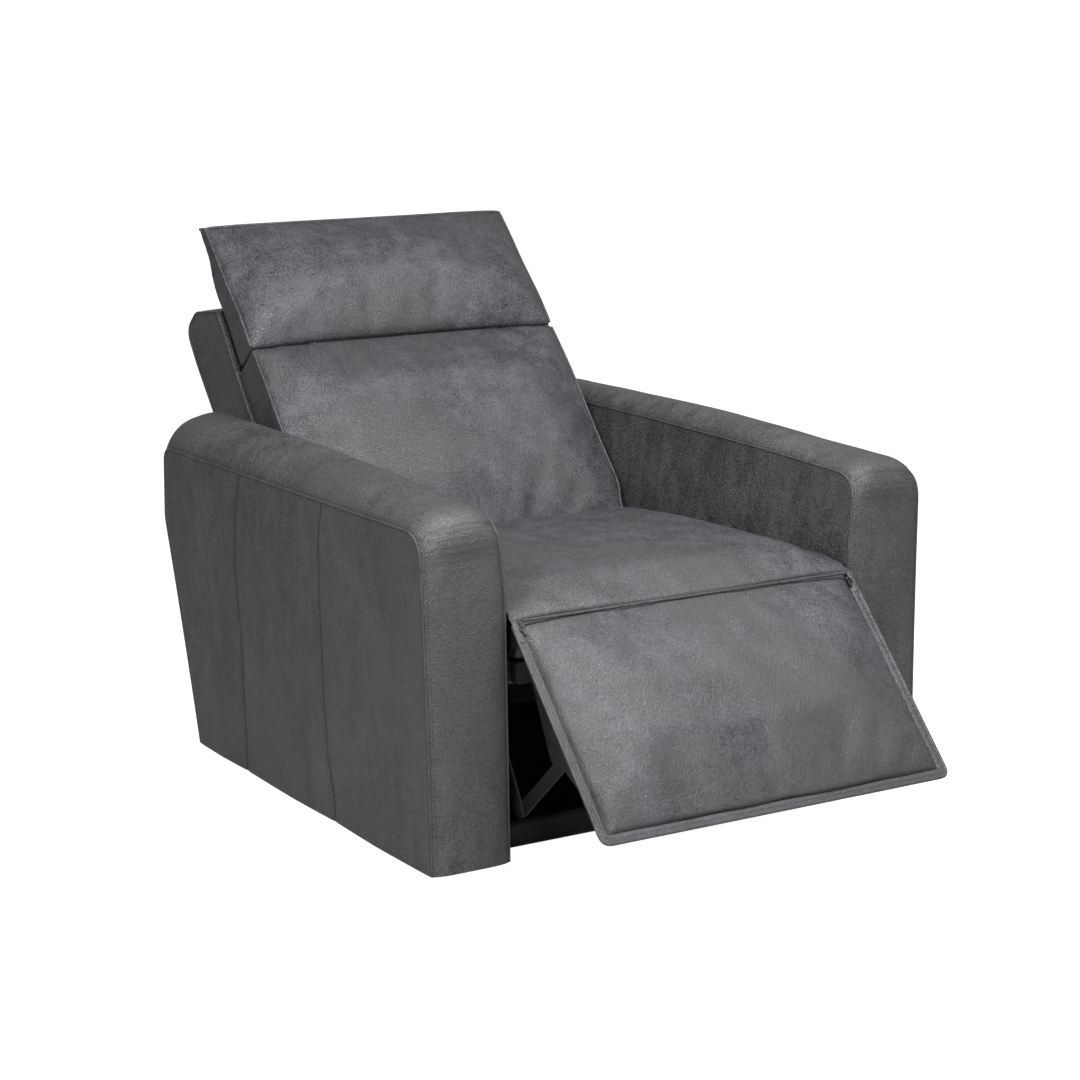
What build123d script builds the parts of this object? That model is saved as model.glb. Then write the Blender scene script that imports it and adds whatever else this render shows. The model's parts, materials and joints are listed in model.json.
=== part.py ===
from build123d import *
import os
from math import cos, radians, sin

# A powered recliner armchair. The frame is +Z up, the chair faces -Y and X runs across it.
# The origin is on the floor under the middle of the whole chair in its half-open rest pose.
# Side profiles are drawn as (depth, height): depth runs back from the front of the arms.

# Driving dimensions, in millimetres
CHAIR_WIDTH = 1000
ARM_WIDTH = 151
ARM_FRONT = -505
GLIDE_HEIGHT = 8
LEATHER = 5
SEAT_HALF = 341
ARM_INNER = CHAIR_WIDTH / 2 - ARM_WIDTH
ARM_OUTER = CHAIR_WIDTH / 2

# Hinges, as (depth, height)
PAD_HINGE = (-18, 400)
TUBE_AXIS = (112, 290)
REAR_LINK_AXIS = (182, 290)
BACK_HINGE = (800, 360)
PAD_LEAN = 42.6
BACK_LEAN = 40
BACK_CORNER = (715, 440)

# Layers of the steel work, from the middle of the chair outwards
REAR_LINK_X = 317.5
LIFT_BAR_X = 323
FRONT_LINK_X = 328.5
LINK_PLATE = 4
SEAT_PLATE_X = 334
SEAT_PLATE = 3
TRACK_X = 338
BASE_PLATE_X = 345

# Pins, tubes and their clearances
PIN = 6
TUBE_RADIUS = 11
TUBE_BORE = 9
BACK_PIN = 8
RUNNING = 0.05
OPEN_PIVOT = 0.25
SLOT_PLAY = 1.6

# The footrest linkage: the pad's pivot arm, along the pad and behind it
PIVOT_ALONG = 220
PIVOT_BEHIND = 50


def side(x):
    """The upright plane at x, with (depth, height) as its own coordinates."""
    return Plane(origin=(x, ARM_FRONT, 0), x_dir=(0, 1, 0), z_dir=(1, 0, 0))


def leaning(x, corner, lean):
    """The upright plane at x, tipped back about corner: (behind, up) the leaning surface."""
    tip = radians(lean)
    return Plane(
        origin=(x, ARM_FRONT + corner[0], corner[1]),
        x_dir=(0, cos(tip), -sin(tip)),
        z_dir=(1, 0, 0),
    )


def back_side(x):
    return leaning(x, BACK_CORNER, BACK_LEAN)


def pad_side(x):
    return leaning(x, PAD_HINGE, PAD_LEAN)


def on_back(behind, up):
    """A point given on the leaning back, as (depth, height)."""
    tip = radians(BACK_LEAN)
    depth = BACK_CORNER[0] + behind * cos(tip) + up * sin(tip)
    height = BACK_CORNER[1] - behind * sin(tip) + up * cos(tip)
    return depth, height


def on_pad(behind, up):
    """A point given on the leaning footrest, as (depth, height)."""
    tip = radians(PAD_LEAN)
    depth = PAD_HINGE[0] + behind * cos(tip) + up * sin(tip)
    height = PAD_HINGE[1] - behind * sin(tip) + up * cos(tip)
    return depth, height


def prism(plane, thickness, points, radius=0):
    """A straight-sided solid standing on plane, from a rounded outline."""
    with BuildPart() as solid:
        with BuildSketch(plane):
            with BuildLine():
                FilletPolyline(*points, radius=radius, close=True)
            make_face()
        extrude(amount=thickness)
    return solid


def block(across, depth, height):
    """A box between two values on each axis; depth is from the front of the arms."""
    with BuildPart() as solid:
        middle = (sum(across) / 2, ARM_FRONT + sum(depth) / 2, sum(height) / 2)
        with Locations(middle):
            Box(across[1] - across[0], depth[1] - depth[0], height[1] - height[0])
    return solid


def bar_between(plane, thickness, ends, width, holes=()):
    """A flat steel link with round ends through a run of pivots, and holes (place, radius)."""
    with BuildPart() as solid:
        with BuildSketch(plane):
            for first, last in zip(ends, ends[1:]):
                SlotCenterPoint(
                    center=((first[0] + last[0]) / 2, (first[1] + last[1]) / 2),
                    point=last,
                    height=width,
                )
            for place, radius in holes:
                with Locations(place):
                    Circle(radius, mode=Mode.SUBTRACT)
        extrude(amount=thickness)
    return solid


def rod(x_from, x_to, place, radius, bore=0):
    """A round bar or tube along X at (depth, height)."""
    with BuildPart() as solid:
        with BuildSketch(side(x_from)):
            with Locations(place):
                Circle(radius)
                if bore:
                    Circle(bore, mode=Mode.SUBTRACT)
        extrude(amount=x_to - x_from)
    return solid


def joined(*pieces):
    """One solid made of pieces that are welded, moulded or glued together."""
    with BuildPart() as whole:
        for piece in pieces:
            add(piece.part)
    return whole


def cut_by(piece, *tools):
    """A piece with the shape of each tool taken out of it."""
    with BuildPart() as whole:
        add(piece.part)
        for tool in tools:
            add(tool.part, mode=Mode.SUBTRACT)
    return whole


def mirrored(piece):
    """The same piece for the other side of the chair."""
    with BuildPart() as other:
        mirror(piece.part, about=Plane.YZ)
    return other


# Arms: a hollow plywood box, foam over it, and a leather cover that is open underneath.
ARM_TOP_FRONT = 608
ARM_TOP_REAR = 636
ARM_REAR = 1083
CROWN_TOP = 642
CROWN_INNER = 602
CROWN_OUTER = 590


def arm_block(inset):
    """The arm's outer shape, crowned on top, taken in by inset on every side but the bottom."""
    points = [
        (inset, GLIDE_HEIGHT),
        (inset, ARM_TOP_FRONT - inset),
        (230, 622 - inset),
        (620, ARM_TOP_REAR - 2 - inset),
        (960, ARM_TOP_REAR - inset),
        (1064 - inset, 612 - inset),
        (ARM_REAR - inset, 440),
        (967 - inset, GLIDE_HEIGHT),
    ]
    radii = [0, 55 - inset, 400, 400, 400, 34 - inset, 60, 0]
    across_front = Plane(origin=(0, ARM_FRONT - 1, 0), x_dir=(1, 0, 0), z_dir=(0, -1, 0))
    with BuildPart() as solid:
        with BuildSketch(side(ARM_INNER + inset)):
            with BuildLine():
                FilletPolyline(*points, radius=radii, close=True)
            make_face()
        extrude(amount=ARM_WIDTH - 2 * inset)
        with BuildSketch(across_front):
            with BuildLine():
                inner_edge = (ARM_INNER + inset, CROWN_INNER - inset)
                outer_edge = (ARM_OUTER - inset, CROWN_OUTER - inset)
                ThreePointArc(inner_edge, (ARM_INNER + ARM_WIDTH / 2, CROWN_TOP - inset), outer_edge)
                Polyline(outer_edge, (outer_edge[0], 0), (inner_edge[0], 0), inner_edge)
            make_face()
        extrude(amount=-ARM_REAR - 2, mode=Mode.INTERSECT)
    return solid


FRAME_FRONT = 26
ARM_FRAME_OUTLINE = [
    (FRAME_FRONT, GLIDE_HEIGHT),
    (FRAME_FRONT, 552),
    (300, 574),
    (1032, 584),
    (1056, 440),
    (938, GLIDE_HEIGHT),
]
PLY = 15
ARM_FRAME_IN = ARM_INNER + 14
ARM_FRAME_OUT = ARM_OUTER - 14

arm_frame_outer = prism(side(ARM_FRAME_IN), ARM_FRAME_OUT - ARM_FRAME_IN, ARM_FRAME_OUTLINE)
with BuildPart() as arm_frame_right:
    add(arm_frame_outer.part)
    with BuildSketch(side(ARM_FRAME_IN + PLY)):
        with BuildLine():
            Polyline(*ARM_FRAME_OUTLINE, close=True)
        make_face()
        offset(amount=-PLY, kind=Kind.INTERSECTION, mode=Mode.REPLACE)
    extrude(amount=ARM_FRAME_OUT - ARM_FRAME_IN - 2 * PLY, mode=Mode.SUBTRACT)
    with BuildSketch(side(ARM_FRAME_IN)):
        with Locations((300, 300), (740, 300)):
            RectangleRounded(260, 300, 40)
    extrude(amount=ARM_FRAME_OUT - ARM_FRAME_IN, mode=Mode.SUBTRACT)

arm_foam_right = cut_by(arm_block(LEATHER), arm_frame_outer)
arm_cover_right = cut_by(arm_block(0), arm_block(LEATHER))

# Control panel on the inner face of the left arm: a bezel, its switch box and four buttons.
PANEL_DEPTH = 300
PANEL_HEIGHT = 545
PANEL_FACE = 3
SWITCH_DEEP = 24
BUTTON_PITCH = 26
BUTTON_RADIUS = 8
BUTTON_TRAVEL = 2
BUTTON_GAP = 0.3
BUTTON_STEM = 8
BUTTON_WELL = 12
panel_plane = Plane(
    origin=(-ARM_INNER, ARM_FRONT + PANEL_DEPTH, PANEL_HEIGHT), x_dir=(0, 1, 0), z_dir=(1, 0, 0)
)
button_spots = [(step - 1.5) * BUTTON_PITCH for step in range(4)]
with BuildPart() as control_panel:
    with BuildSketch(panel_plane):
        RectangleRounded(124, 36, 16)
    extrude(amount=PANEL_FACE)
    fillet(control_panel.faces().sort_by(Axis.X)[-1].edges(), radius=1.5)
    with BuildSketch(panel_plane):
        RectangleRounded(108, 24, 10)
    extrude(amount=-SWITCH_DEEP)
    with BuildSketch(panel_plane.offset(PANEL_FACE)):
        with Locations(*[(spot, 0) for spot in button_spots]):
            Circle(BUTTON_RADIUS + BUTTON_GAP)
    extrude(amount=-(PANEL_FACE + BUTTON_WELL), mode=Mode.SUBTRACT)
with BuildPart() as switch_pocket:
    with BuildSketch(panel_plane):
        RectangleRounded(109, 25, 10.5)
    extrude(amount=-(SWITCH_DEEP + 1))

buttons = []
for spot in button_spots:
    with BuildPart() as button:
        with BuildSketch(panel_plane.offset(-BUTTON_STEM)):
            with Locations((spot, 0)):
                Circle(BUTTON_RADIUS)
        extrude(amount=BUTTON_STEM + PANEL_FACE + BUTTON_TRAVEL)
        fillet(button.faces().sort_by(Axis.X)[-1].edges(), radius=1)
    buttons.append(button)

arm_frame_left = cut_by(mirrored(arm_frame_right), switch_pocket)
arm_foam_left = cut_by(mirrored(arm_foam_right), switch_pocket)
arm_cover_left = cut_by(mirrored(arm_cover_right), switch_pocket)

# Base: wooden rails between the arms, glides under them, and the steel plates that carry
# the seat's tracks. The rear rail carries a leather valance with the power inlet.
RAIL_LOW = GLIDE_HEIGHT + 6
RAIL_HALF = 335.5
side_rail_right = block((RAIL_HALF + 0.5, ARM_INNER - 0.5), (60, 905), (RAIL_LOW, 90))
side_rail_left = mirrored(side_rail_right)
front_rail = block((-RAIL_HALF, RAIL_HALF), (66, 90), (RAIL_LOW, 46))
REAR_RAIL_TOP = 205
rear_rail = block((-RAIL_HALF, RAIL_HALF), (882, 900), (RAIL_LOW, REAR_RAIL_TOP))
with BuildPart() as rear_valance:
    with Locations((0, ARM_FRONT + 911, (GLIDE_HEIGHT + 4 + REAR_RAIL_TOP + 6) / 2)):
        Box(2 * ARM_INNER - 3, 12, REAR_RAIL_TOP + 2 - GLIDE_HEIGHT)
    fillet(rear_valance.edges().filter_by(Axis.X), radius=5)
inlet_plane = Plane(origin=(-250, ARM_FRONT + 917, 90), x_dir=(1, 0, 0), z_dir=(0, 1, 0))
with BuildPart() as inlet_hole:
    with BuildSketch(inlet_plane):
        Circle(10.5)
    extrude(amount=-36)
rear_valance = cut_by(rear_valance, inlet_hole)
rear_rail = cut_by(rear_rail, inlet_hole)
with BuildPart() as power_inlet:
    with BuildSketch(inlet_plane):
        Circle(15)
    extrude(amount=2.5)
    with BuildSketch(inlet_plane):
        Circle(10.3)
    extrude(amount=-34)
    with BuildSketch(inlet_plane.offset(2.5)):
        Circle(6)
    extrude(amount=-20, mode=Mode.SUBTRACT)
    with BuildSketch(inlet_plane.offset(-17.5)):
        Circle(1.2)
    extrude(amount=16)

with BuildPart() as dust_cover:
    with Locations((0, ARM_FRONT + 480, GLIDE_HEIGHT + 5)):
        Box(690, 850, 2)

GLIDE_X = 424
GLIDE_DEPTHS = (60, 500, 900)
with BuildPart() as glide_feet:
    for depth in GLIDE_DEPTHS:
        with BuildSketch(Plane.XY):
            with Locations((-GLIDE_X, ARM_FRONT + depth), (GLIDE_X, ARM_FRONT + depth)):
                Circle(17)
        extrude(amount=GLIDE_HEIGHT)
    chamfer(glide_feet.faces().group_by(Axis.Z)[0].edges(), length=2)

# Each base plate stands on its side rail. Its upright slot at the rear holds the back's
# guide pin, so the seat runs forwards as the back leans away from the wall.
GUIDE_ARM = 91.5
GUIDE_PIN = (BACK_HINGE[0], BACK_HINGE[1] + GUIDE_ARM)
GUIDE_PLAY = 0.9
base_plate_outline = [
    (110, 90),
    (110, 236),
    (690, 236),
    (760, 300),
    (GUIDE_PIN[0] - 22, 480),
    (GUIDE_PIN[0] + 22, 480),
    (GUIDE_PIN[0] + 30, 90),
]
mechanism_plate = prism(side(BASE_PLATE_X), 4, base_plate_outline, [8, 8, 40, 40, 8, 8, 8])
with BuildPart() as mechanism_plate_right:
    add(mechanism_plate.part)
    with BuildSketch(side(BASE_PLATE_X)):
        with Locations((GUIDE_PIN[0], GUIDE_PIN[1] - 4)):
            SlotOverall(36, 2 * (PIN + GUIDE_PLAY), rotation=90)
        with Locations((200, 150), (330, 150), (460, 150), (590, 150)):
            SlotOverall(70, 34)
    extrude(amount=4, mode=Mode.SUBTRACT)
mechanism_plate_left = mirrored(mechanism_plate_right)

TRACK_LOW = 192
TRACK_HIGH = 228
with BuildPart() as glide_track_right:
    with BuildSketch(Plane(origin=(0, ARM_FRONT + 115, 0), x_dir=(1, 0, 0), z_dir=(0, -1, 0))):
        with Locations(((TRACK_X + BASE_PLATE_X) / 2, (TRACK_LOW + TRACK_HIGH) / 2)):
            Rectangle(BASE_PLATE_X - TRACK_X, TRACK_HIGH - TRACK_LOW)
        with Locations((TRACK_X + 2.5, (TRACK_LOW + TRACK_HIGH) / 2)):
            Rectangle(5, TRACK_HIGH - TRACK_LOW - 5, mode=Mode.SUBTRACT)
    extrude(amount=-575)
glide_track_left = mirrored(glide_track_right)

# Seat: a wooden frame with sinuous springs across it and a foam and leather cushion on top.
SEAT_FRAME_LOW = 308
SEAT_FRAME_HIGH = 343
SEAT_FRAME_HALF = SEAT_PLATE_X
SEAT_FRONT = 8
SEAT_REAR = 655
RAIL = 30
BRACKET_NOTCH = 9
with BuildPart() as seat_frame:
    with Locations((0, ARM_FRONT + (SEAT_FRONT + SEAT_REAR) / 2, (SEAT_FRAME_LOW + SEAT_FRAME_HIGH) / 2)):
        Box(2 * SEAT_FRAME_HALF, SEAT_REAR - SEAT_FRONT, SEAT_FRAME_HIGH - SEAT_FRAME_LOW)
        Box(
            2 * (SEAT_FRAME_HALF - RAIL),
            SEAT_REAR - SEAT_FRONT - 2 * RAIL,
            SEAT_FRAME_HIGH - SEAT_FRAME_LOW,
            mode=Mode.SUBTRACT,
        )
    fillet(seat_frame.edges().filter_by(Axis.Z), radius=4)
    notch_middle = SEAT_FRAME_HALF - BRACKET_NOTCH / 2
    notch_place = (ARM_FRONT + SEAT_FRONT, (SEAT_FRAME_LOW + SEAT_FRAME_HIGH) / 2)
    with Locations((-notch_middle, *notch_place), (notch_middle, *notch_place)):
        Box(BRACKET_NOTCH, 48, SEAT_FRAME_HIGH - SEAT_FRAME_LOW, mode=Mode.SUBTRACT)

SPRING_WIRE = 1.8
SPRING_HALF = 24
SPRING_PITCH = 24
SPRING_TURNS = 25
SPRING_HEIGHT = SEAT_FRAME_HIGH + SPRING_WIRE
spring_start = ARM_FRONT + 20


def spring_path(turns):
    """The flat zigzag of one sinuous spring: straight runs joined by half circles."""
    runs = []
    for turn in range(turns):
        start = spring_start + turn * SPRING_PITCH
        way = 1 if turn % 2 else -1
        low = (-way * SPRING_HALF, start, SPRING_HEIGHT)
        high = (way * SPRING_HALF, start, SPRING_HEIGHT)
        runs.append(Edge.make_line(low, high))
        if turn < turns - 1:
            crown = (way * (SPRING_HALF + SPRING_PITCH / 2), start + SPRING_PITCH / 2, SPRING_HEIGHT)
            end = (way * SPRING_HALF, start + SPRING_PITCH, SPRING_HEIGHT)
            runs.append(Edge.make_three_point_arc(high, crown, end))
    return Wire(runs)


spring_wire_path = spring_path(SPRING_TURNS)
with BuildPart() as one_spring:
    with BuildSketch(Plane(origin=spring_wire_path @ 0, z_dir=spring_wire_path % 0)):
        Circle(SPRING_WIRE)
    sweep(path=spring_wire_path)
with BuildPart() as seat_springs:
    with Locations(*[(across, 0, 0) for across in (-220, -110, 0, 110, 220)]):
        add(one_spring.part)

# The seat cushion is full width above the hinge ears and narrower between them.
SEAT_TOP_OUTLINE = [
    (-13, 399),
    (-14, 444),
    (140, 458),
    (400, 463),
    (600, 452),
    (662, 436),
    (655, 349),
    (6, 349),
    (6, 397),
]
seat_radii = [0, 30, 200, 600, 200, 20, 6, 4, 0]
HINGE_EAR_TOP = 416
SEAT_CORE_HALF = FRONT_LINK_X - 2.5
seat_cushion_core = prism(side(-SEAT_CORE_HALF), 2 * SEAT_CORE_HALF, SEAT_TOP_OUTLINE, seat_radii)
with BuildPart() as seat_cushion_wide:
    add(prism(side(-SEAT_HALF), 2 * SEAT_HALF, SEAT_TOP_OUTLINE, seat_radii).part)
    split(bisect_by=Plane.XY.offset(HINGE_EAR_TOP), keep=Keep.TOP)
    sides = seat_cushion_wide.faces().filter_by(Axis.X).edges()
    fillet(sides.filter_by(lambda edge: edge.center().Z > HINGE_EAR_TOP + 14), radius=14)
seat_cushion = joined(seat_cushion_core, seat_cushion_wide)

# The seat plates carry the pad's hinge, both link axes and the back's hinge.
seat_plate_outline = [
    (-8, 388),
    (-27, 394),
    (-27, 412),
    (-10, 412),
    (60, 346),
    (640, 346),
    (776, 378),
    (816, 378),
    (822, 346),
    (700, 262),
    (640, 196),
    (130, 196),
    (92, 276),
    (40, 330),
]
seat_plate_radii = [6, 8, 8, 8, 40, 60, 30, 16, 16, 40, 30, 20, 12, 30]
with BuildPart() as seat_plate_right:
    add(prism(side(SEAT_PLATE_X), SEAT_PLATE, seat_plate_outline, seat_plate_radii).part)
    with BuildSketch(side(SEAT_PLATE_X)):
        with Locations(PAD_HINGE, REAR_LINK_AXIS):
            Circle(PIN + RUNNING)
        with Locations(TUBE_AXIS):
            Circle(TUBE_RADIUS + RUNNING)
        with Locations(BACK_HINGE):
            Circle(BACK_PIN + RUNNING)
        with Locations((300, 275), (420, 275), (540, 275)):
            SlotOverall(80, 30)
    extrude(amount=SEAT_PLATE, mode=Mode.SUBTRACT)
seat_plate_left = mirrored(seat_plate_right)

RUNNER_GAP = 0.5
with BuildPart() as runners_right:
    for depth in (190, 600):
        with BuildSketch(side(SEAT_PLATE_X + SEAT_PLATE)):
            with Locations((depth, (TRACK_LOW + TRACK_HIGH) / 2)):
                SlotOverall(60, TRACK_HIGH - TRACK_LOW - 5 - 2 * RUNNER_GAP)
        extrude(amount=TRACK_X + 5 - RUNNER_GAP - SEAT_PLATE_X - SEAT_PLATE)
track_runners = joined(runners_right, mirrored(runners_right))

# A cross tube between the seat plates, and the two drives that hang from it.
CROSS_TUBE = (500, 250)
seat_cross_tube = rod(-SEAT_PLATE_X, SEAT_PLATE_X, CROSS_TUBE, TUBE_RADIUS, TUBE_BORE)

LEVER = 60
LEVER_PIN = 5
LEVER_PIN_PLACE = (TUBE_AXIS[0], TUBE_AXIS[1] - LEVER)
FORK_CHEEK = 6
FORK_INNER = 8


def drive(across, rail_depth, rail_height, motor_depth, tube):
    """A drive: slide rail, gearbox, motor can, and a clamp around the seat's cross tube."""
    low, high = rail_height
    rail = block((across - 15, across + 15), rail_depth, (low, high))
    gearbox = block((across - 24, across + 24), motor_depth, (low - 14, high + 12))
    can = rod(across + 24, across + 96, (sum(motor_depth) / 2, (low + high) / 2), 21)
    clamp_low = min(high + 12, tube[1] - 17)
    clamp_rear = max(tube[0] + 17, motor_depth[0] + 2)
    clamp = block((across - 20, across + 20), (tube[0] - 17, clamp_rear), (clamp_low, tube[1] + 17))
    body = joined(rail, gearbox, can, clamp)
    return cut_by(body, rod(across - 30, across + 30, tube, TUBE_RADIUS + 0.2))


FOOTREST_RAIL = (180, 196)
RECLINE_RAIL = (236, 248)
footrest_motor = drive(0, (30, 470), FOOTREST_RAIL, (466, 534), CROSS_TUBE)
with BuildPart() as front_hanger:
    with Locations((0, ARM_FRONT + 35, (FOOTREST_RAIL[0] + SEAT_FRAME_LOW) / 2)):
        Box(24, 5, SEAT_FRAME_LOW - FOOTREST_RAIL[0])
footrest_motor = joined(footrest_motor, front_hanger)

RECLINE_X = 150
RECLINE_LEVER = 80
RECLINE_PIN = (BACK_HINGE[0], BACK_HINGE[1] - RECLINE_LEVER)
recline_motor = drive(RECLINE_X, (586, 834), RECLINE_RAIL, (530, 590), CROSS_TUBE)


def carriage(across, pin_place, rail_top, pin_radius, length, rise):
    """A sliding fork: its base rides just above the rail and its open slot holds a lever's pin."""
    low = rail_top + 0.3
    slot_half = pin_radius + SLOT_PLAY
    depth = (pin_place[0] - length / 2, pin_place[0] + length / 2)
    half = FORK_INNER + FORK_CHEEK
    solid = block((across - half, across + half), depth, (low, pin_place[1] + rise))
    gap = block((across - FORK_INNER, across + FORK_INNER), depth, (low + 9, pin_place[1] + rise))
    slot_depth = (pin_place[0] - slot_half, pin_place[0] + slot_half)
    slot = block((across - half, across + half), slot_depth, (pin_place[1] - 9, pin_place[1] + rise))
    return cut_by(solid, gap, slot)


footrest_carriage = carriage(0, LEVER_PIN_PLACE, FOOTREST_RAIL[1], LEVER_PIN, 34, 26)
recline_carriage = carriage(RECLINE_X, RECLINE_PIN, RECLINE_RAIL[1], LEVER_PIN, 34, 18)

# Footrest linkage. The pad turns on the seat's ears; on each side two links and a lift bar
# make a parallelogram with it, and the torque tube joins both sides to the drive's lever.
pad_pivot = on_pad(PIVOT_BEHIND, -PIVOT_ALONG)
swing = (pad_pivot[0] - PAD_HINGE[0], pad_pivot[1] - PAD_HINGE[1])
front_knee = (TUBE_AXIS[0] + swing[0], TUBE_AXIS[1] + swing[1])
rear_knee = (REAR_LINK_AXIS[0] + swing[0], REAR_LINK_AXIS[1] + swing[1])
LINK_WIDTH = 24
REAR_LINK_WIDTH = 15

AXLE_END = 340
torque_tube_bar = rod(-AXLE_END, AXLE_END, TUBE_AXIS, TUBE_RADIUS)
lever_plate = bar_between(side(-5), 10, [TUBE_AXIS, LEVER_PIN_PLACE], 18)
lever_pin = rod(-14, 14, LEVER_PIN_PLACE, LEVER_PIN)
torque_tube = joined(torque_tube_bar, lever_plate, lever_pin)


def front_link():
    plate = bar_between(
        side(FRONT_LINK_X), LINK_PLATE, [TUBE_AXIS, front_knee], LINK_WIDTH, [(TUBE_AXIS, TUBE_RADIUS)]
    )
    pin = rod(LIFT_BAR_X - 0.6, FRONT_LINK_X, front_knee, PIN)
    head = rod(FRONT_LINK_X + LINK_PLATE, FRONT_LINK_X + LINK_PLATE + 1, front_knee, 9)
    return joined(plate, pin, head)


def rear_link():
    plate = bar_between(side(REAR_LINK_X), LINK_PLATE, [REAR_LINK_AXIS, rear_knee], REAR_LINK_WIDTH)
    axle = rod(REAR_LINK_X + LINK_PLATE, AXLE_END, REAR_LINK_AXIS, PIN)
    pin = rod(REAR_LINK_X + LINK_PLATE, LIFT_BAR_X + LINK_PLATE + 0.8, rear_knee, PIN)
    return joined(plate, axle, pin)


front_link_right = front_link()
front_link_left = mirrored(front_link_right)
rear_link_right = rear_link()
rear_link_left = mirrored(rear_link_right)
lift_bar_right = bar_between(
    side(LIFT_BAR_X),
    LINK_PLATE,
    [rear_knee, front_knee, pad_pivot],
    LINK_WIDTH,
    [(front_knee, PIN + RUNNING), (rear_knee, PIN + OPEN_PIVOT), (pad_pivot, PIN + OPEN_PIVOT)],
)
lift_bar_left = mirrored(lift_bar_right)

# Footrest: a plywood board, foam and leather over it, and a steel bracket on each side.
BOARD = 15
PAD_LENGTH = 388
footrest_board = prism(
    pad_side(-318), 636, [(-1, -36), (-1, -376), (-1 + BOARD, -376), (-1 + BOARD, -36)], 2
)
PAD_HALF = SEAT_HALF - 2
pad_outline = [
    (-24, -18),
    (-40, -60),
    (-42, -300),
    (-26, -PAD_LENGTH),
    (-1.5, -PAD_LENGTH),
    (-1.5, -18),
]
footrest_cushion_core = prism(pad_side(-PAD_HALF), 2 * PAD_HALF, pad_outline, [16, 60, 80, 16, 0, 0])
with BuildPart() as footrest_cushion:
    add(footrest_cushion_core.part)
    ends = footrest_cushion.faces().filter_by(Axis.X).edges()
    front_rims = ends.filter_by(lambda edge: pad_side(0).to_local_coords(edge.center()).X < -20)
    fillet(front_rims, radius=12)


def pad_bracket():
    with BuildPart() as arm:
        with BuildSketch(pad_side(FRONT_LINK_X)):
            with BuildLine():
                FilletPolyline(
                    (-10, 9),
                    (10, 10),
                    (20, -60),
                    (PIVOT_BEHIND + 13, -PIVOT_ALONG + 24),
                    (PIVOT_BEHIND + 13, -PIVOT_ALONG - 14),
                    (PIVOT_BEHIND - 12, -PIVOT_ALONG - 14),
                    (14.5, -300),
                    (3, -300),
                    (3, -30),
                    (1, -16),
                    (-10, -8),
                    radius=[8, 8, 20, 12, 12, 12, 4, 4, 10, 2, 4],
                    close=True,
                )
            make_face()
        extrude(amount=LINK_PLATE)
    flange = prism(
        pad_side(288),
        FRONT_LINK_X + LINK_PLATE - 288,
        [(BOARD - 1, -292), (BOARD - 1, -60), (BOARD + 2, -60), (BOARD + 2, -292)],
    )
    hinge_pin = rod(FRONT_LINK_X + LINK_PLATE, AXLE_END, PAD_HINGE, PIN)
    pivot_pin = rod(LIFT_BAR_X - 0.6, FRONT_LINK_X, pad_pivot, PIN)
    return joined(arm, flange, hinge_pin, pivot_pin)


pad_bracket_right = pad_bracket()
pad_bracket_left = mirrored(pad_bracket_right)

# Back: a wooden frame with elastic webbing, the cushion in front and the cover behind it.
BACK_POST_OUT = 328
BACK_POST_IN = 300
FRAME_FACE = 100
POST_REAR = 140
with BuildPart() as back_frame:
    for low, high in ((-BACK_POST_OUT, -BACK_POST_IN), (BACK_POST_IN, BACK_POST_OUT)):
        post = [(FRAME_FACE, -60), (FRAME_FACE, 570), (POST_REAR, 570), (POST_REAR, -60)]
        add(prism(back_side(low), high - low, post).part)
    for up_from, up_to, near, far in (
        (30, 70, FRAME_FACE, 124),
        (318, 348, 122, POST_REAR),
        (532, 570, FRAME_FACE, 124),
    ):
        rail_outline = [(near, up_from), (near, up_to), (far, up_to), (far, up_from)]
        add(prism(back_side(-BACK_POST_IN), 2 * BACK_POST_IN, rail_outline).part)

STRAP_WIDTH = 48
with BuildPart() as back_webbing:
    for up in (105, 175, 245, 290):
        near, far = FRAME_FACE - 2.6, FRAME_FACE - 0.2
        low, high = up - STRAP_WIDTH / 2, up + STRAP_WIDTH / 2
        strap = [(near, low), (near, high), (far, high), (far, low)]
        add(prism(back_side(-320), 640, strap).part)

BACK_CUSHION_HALF = 326
back_cushion_outline = [
    (6, -46),
    (-18, 20),
    (-34, 110),
    (-36, 300),
    (-28, 404),
    (0, 424),
    (20, 424),
    (93, 398),
    (93, -46),
]
with BuildPart() as back_cushion:
    add(
        prism(
            back_side(-BACK_CUSHION_HALF),
            2 * BACK_CUSHION_HALF,
            back_cushion_outline,
            [16, 80, 120, 120, 14, 6, 6, 10, 10],
        ).part
    )
    ends = back_cushion.faces().filter_by(Axis.X).edges()
    front_rims = ends.filter_by(lambda edge: back_side(0).to_local_coords(edge.center()).X < -12)
    fillet(front_rims, radius=12)

SHELL_HALF = 343
SHELL_WALL = 4
SHELL_REAR = 250
shell_outline = [
    (97, -6),
    (97, 578),
    (180, 640),
    (246, 642),
    (SHELL_REAR, 560),
    (SHELL_REAR, -70),
    (120, -70),
]
shell_radii = [8, 6, 30, 26, 60, 4, 30]
shell_outer = prism(back_side(-SHELL_HALF), 2 * SHELL_HALF, shell_outline, shell_radii)
shell_hollow_outline = [
    (90, -90),
    (90, 573),
    (99, 573),
    (181, 635),
    (242, 637),
    (SHELL_REAR - SHELL_WALL, 560),
    (SHELL_REAR - SHELL_WALL, -90),
]
shell_hollow = prism(
    back_side(-SHELL_HALF + SHELL_WALL),
    2 * (SHELL_HALF - SHELL_WALL),
    shell_hollow_outline,
    [0, 0, 6, 26, 22, 60, 0],
)
back_shell = cut_by(shell_outer, shell_hollow)

hinge_on_back = back_side(0).to_local_coords(Vector(0, ARM_FRONT + BACK_HINGE[0], BACK_HINGE[1]))
guide_on_back = back_side(0).to_local_coords(Vector(0, ARM_FRONT + GUIDE_PIN[0], GUIDE_PIN[1]))


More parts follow.
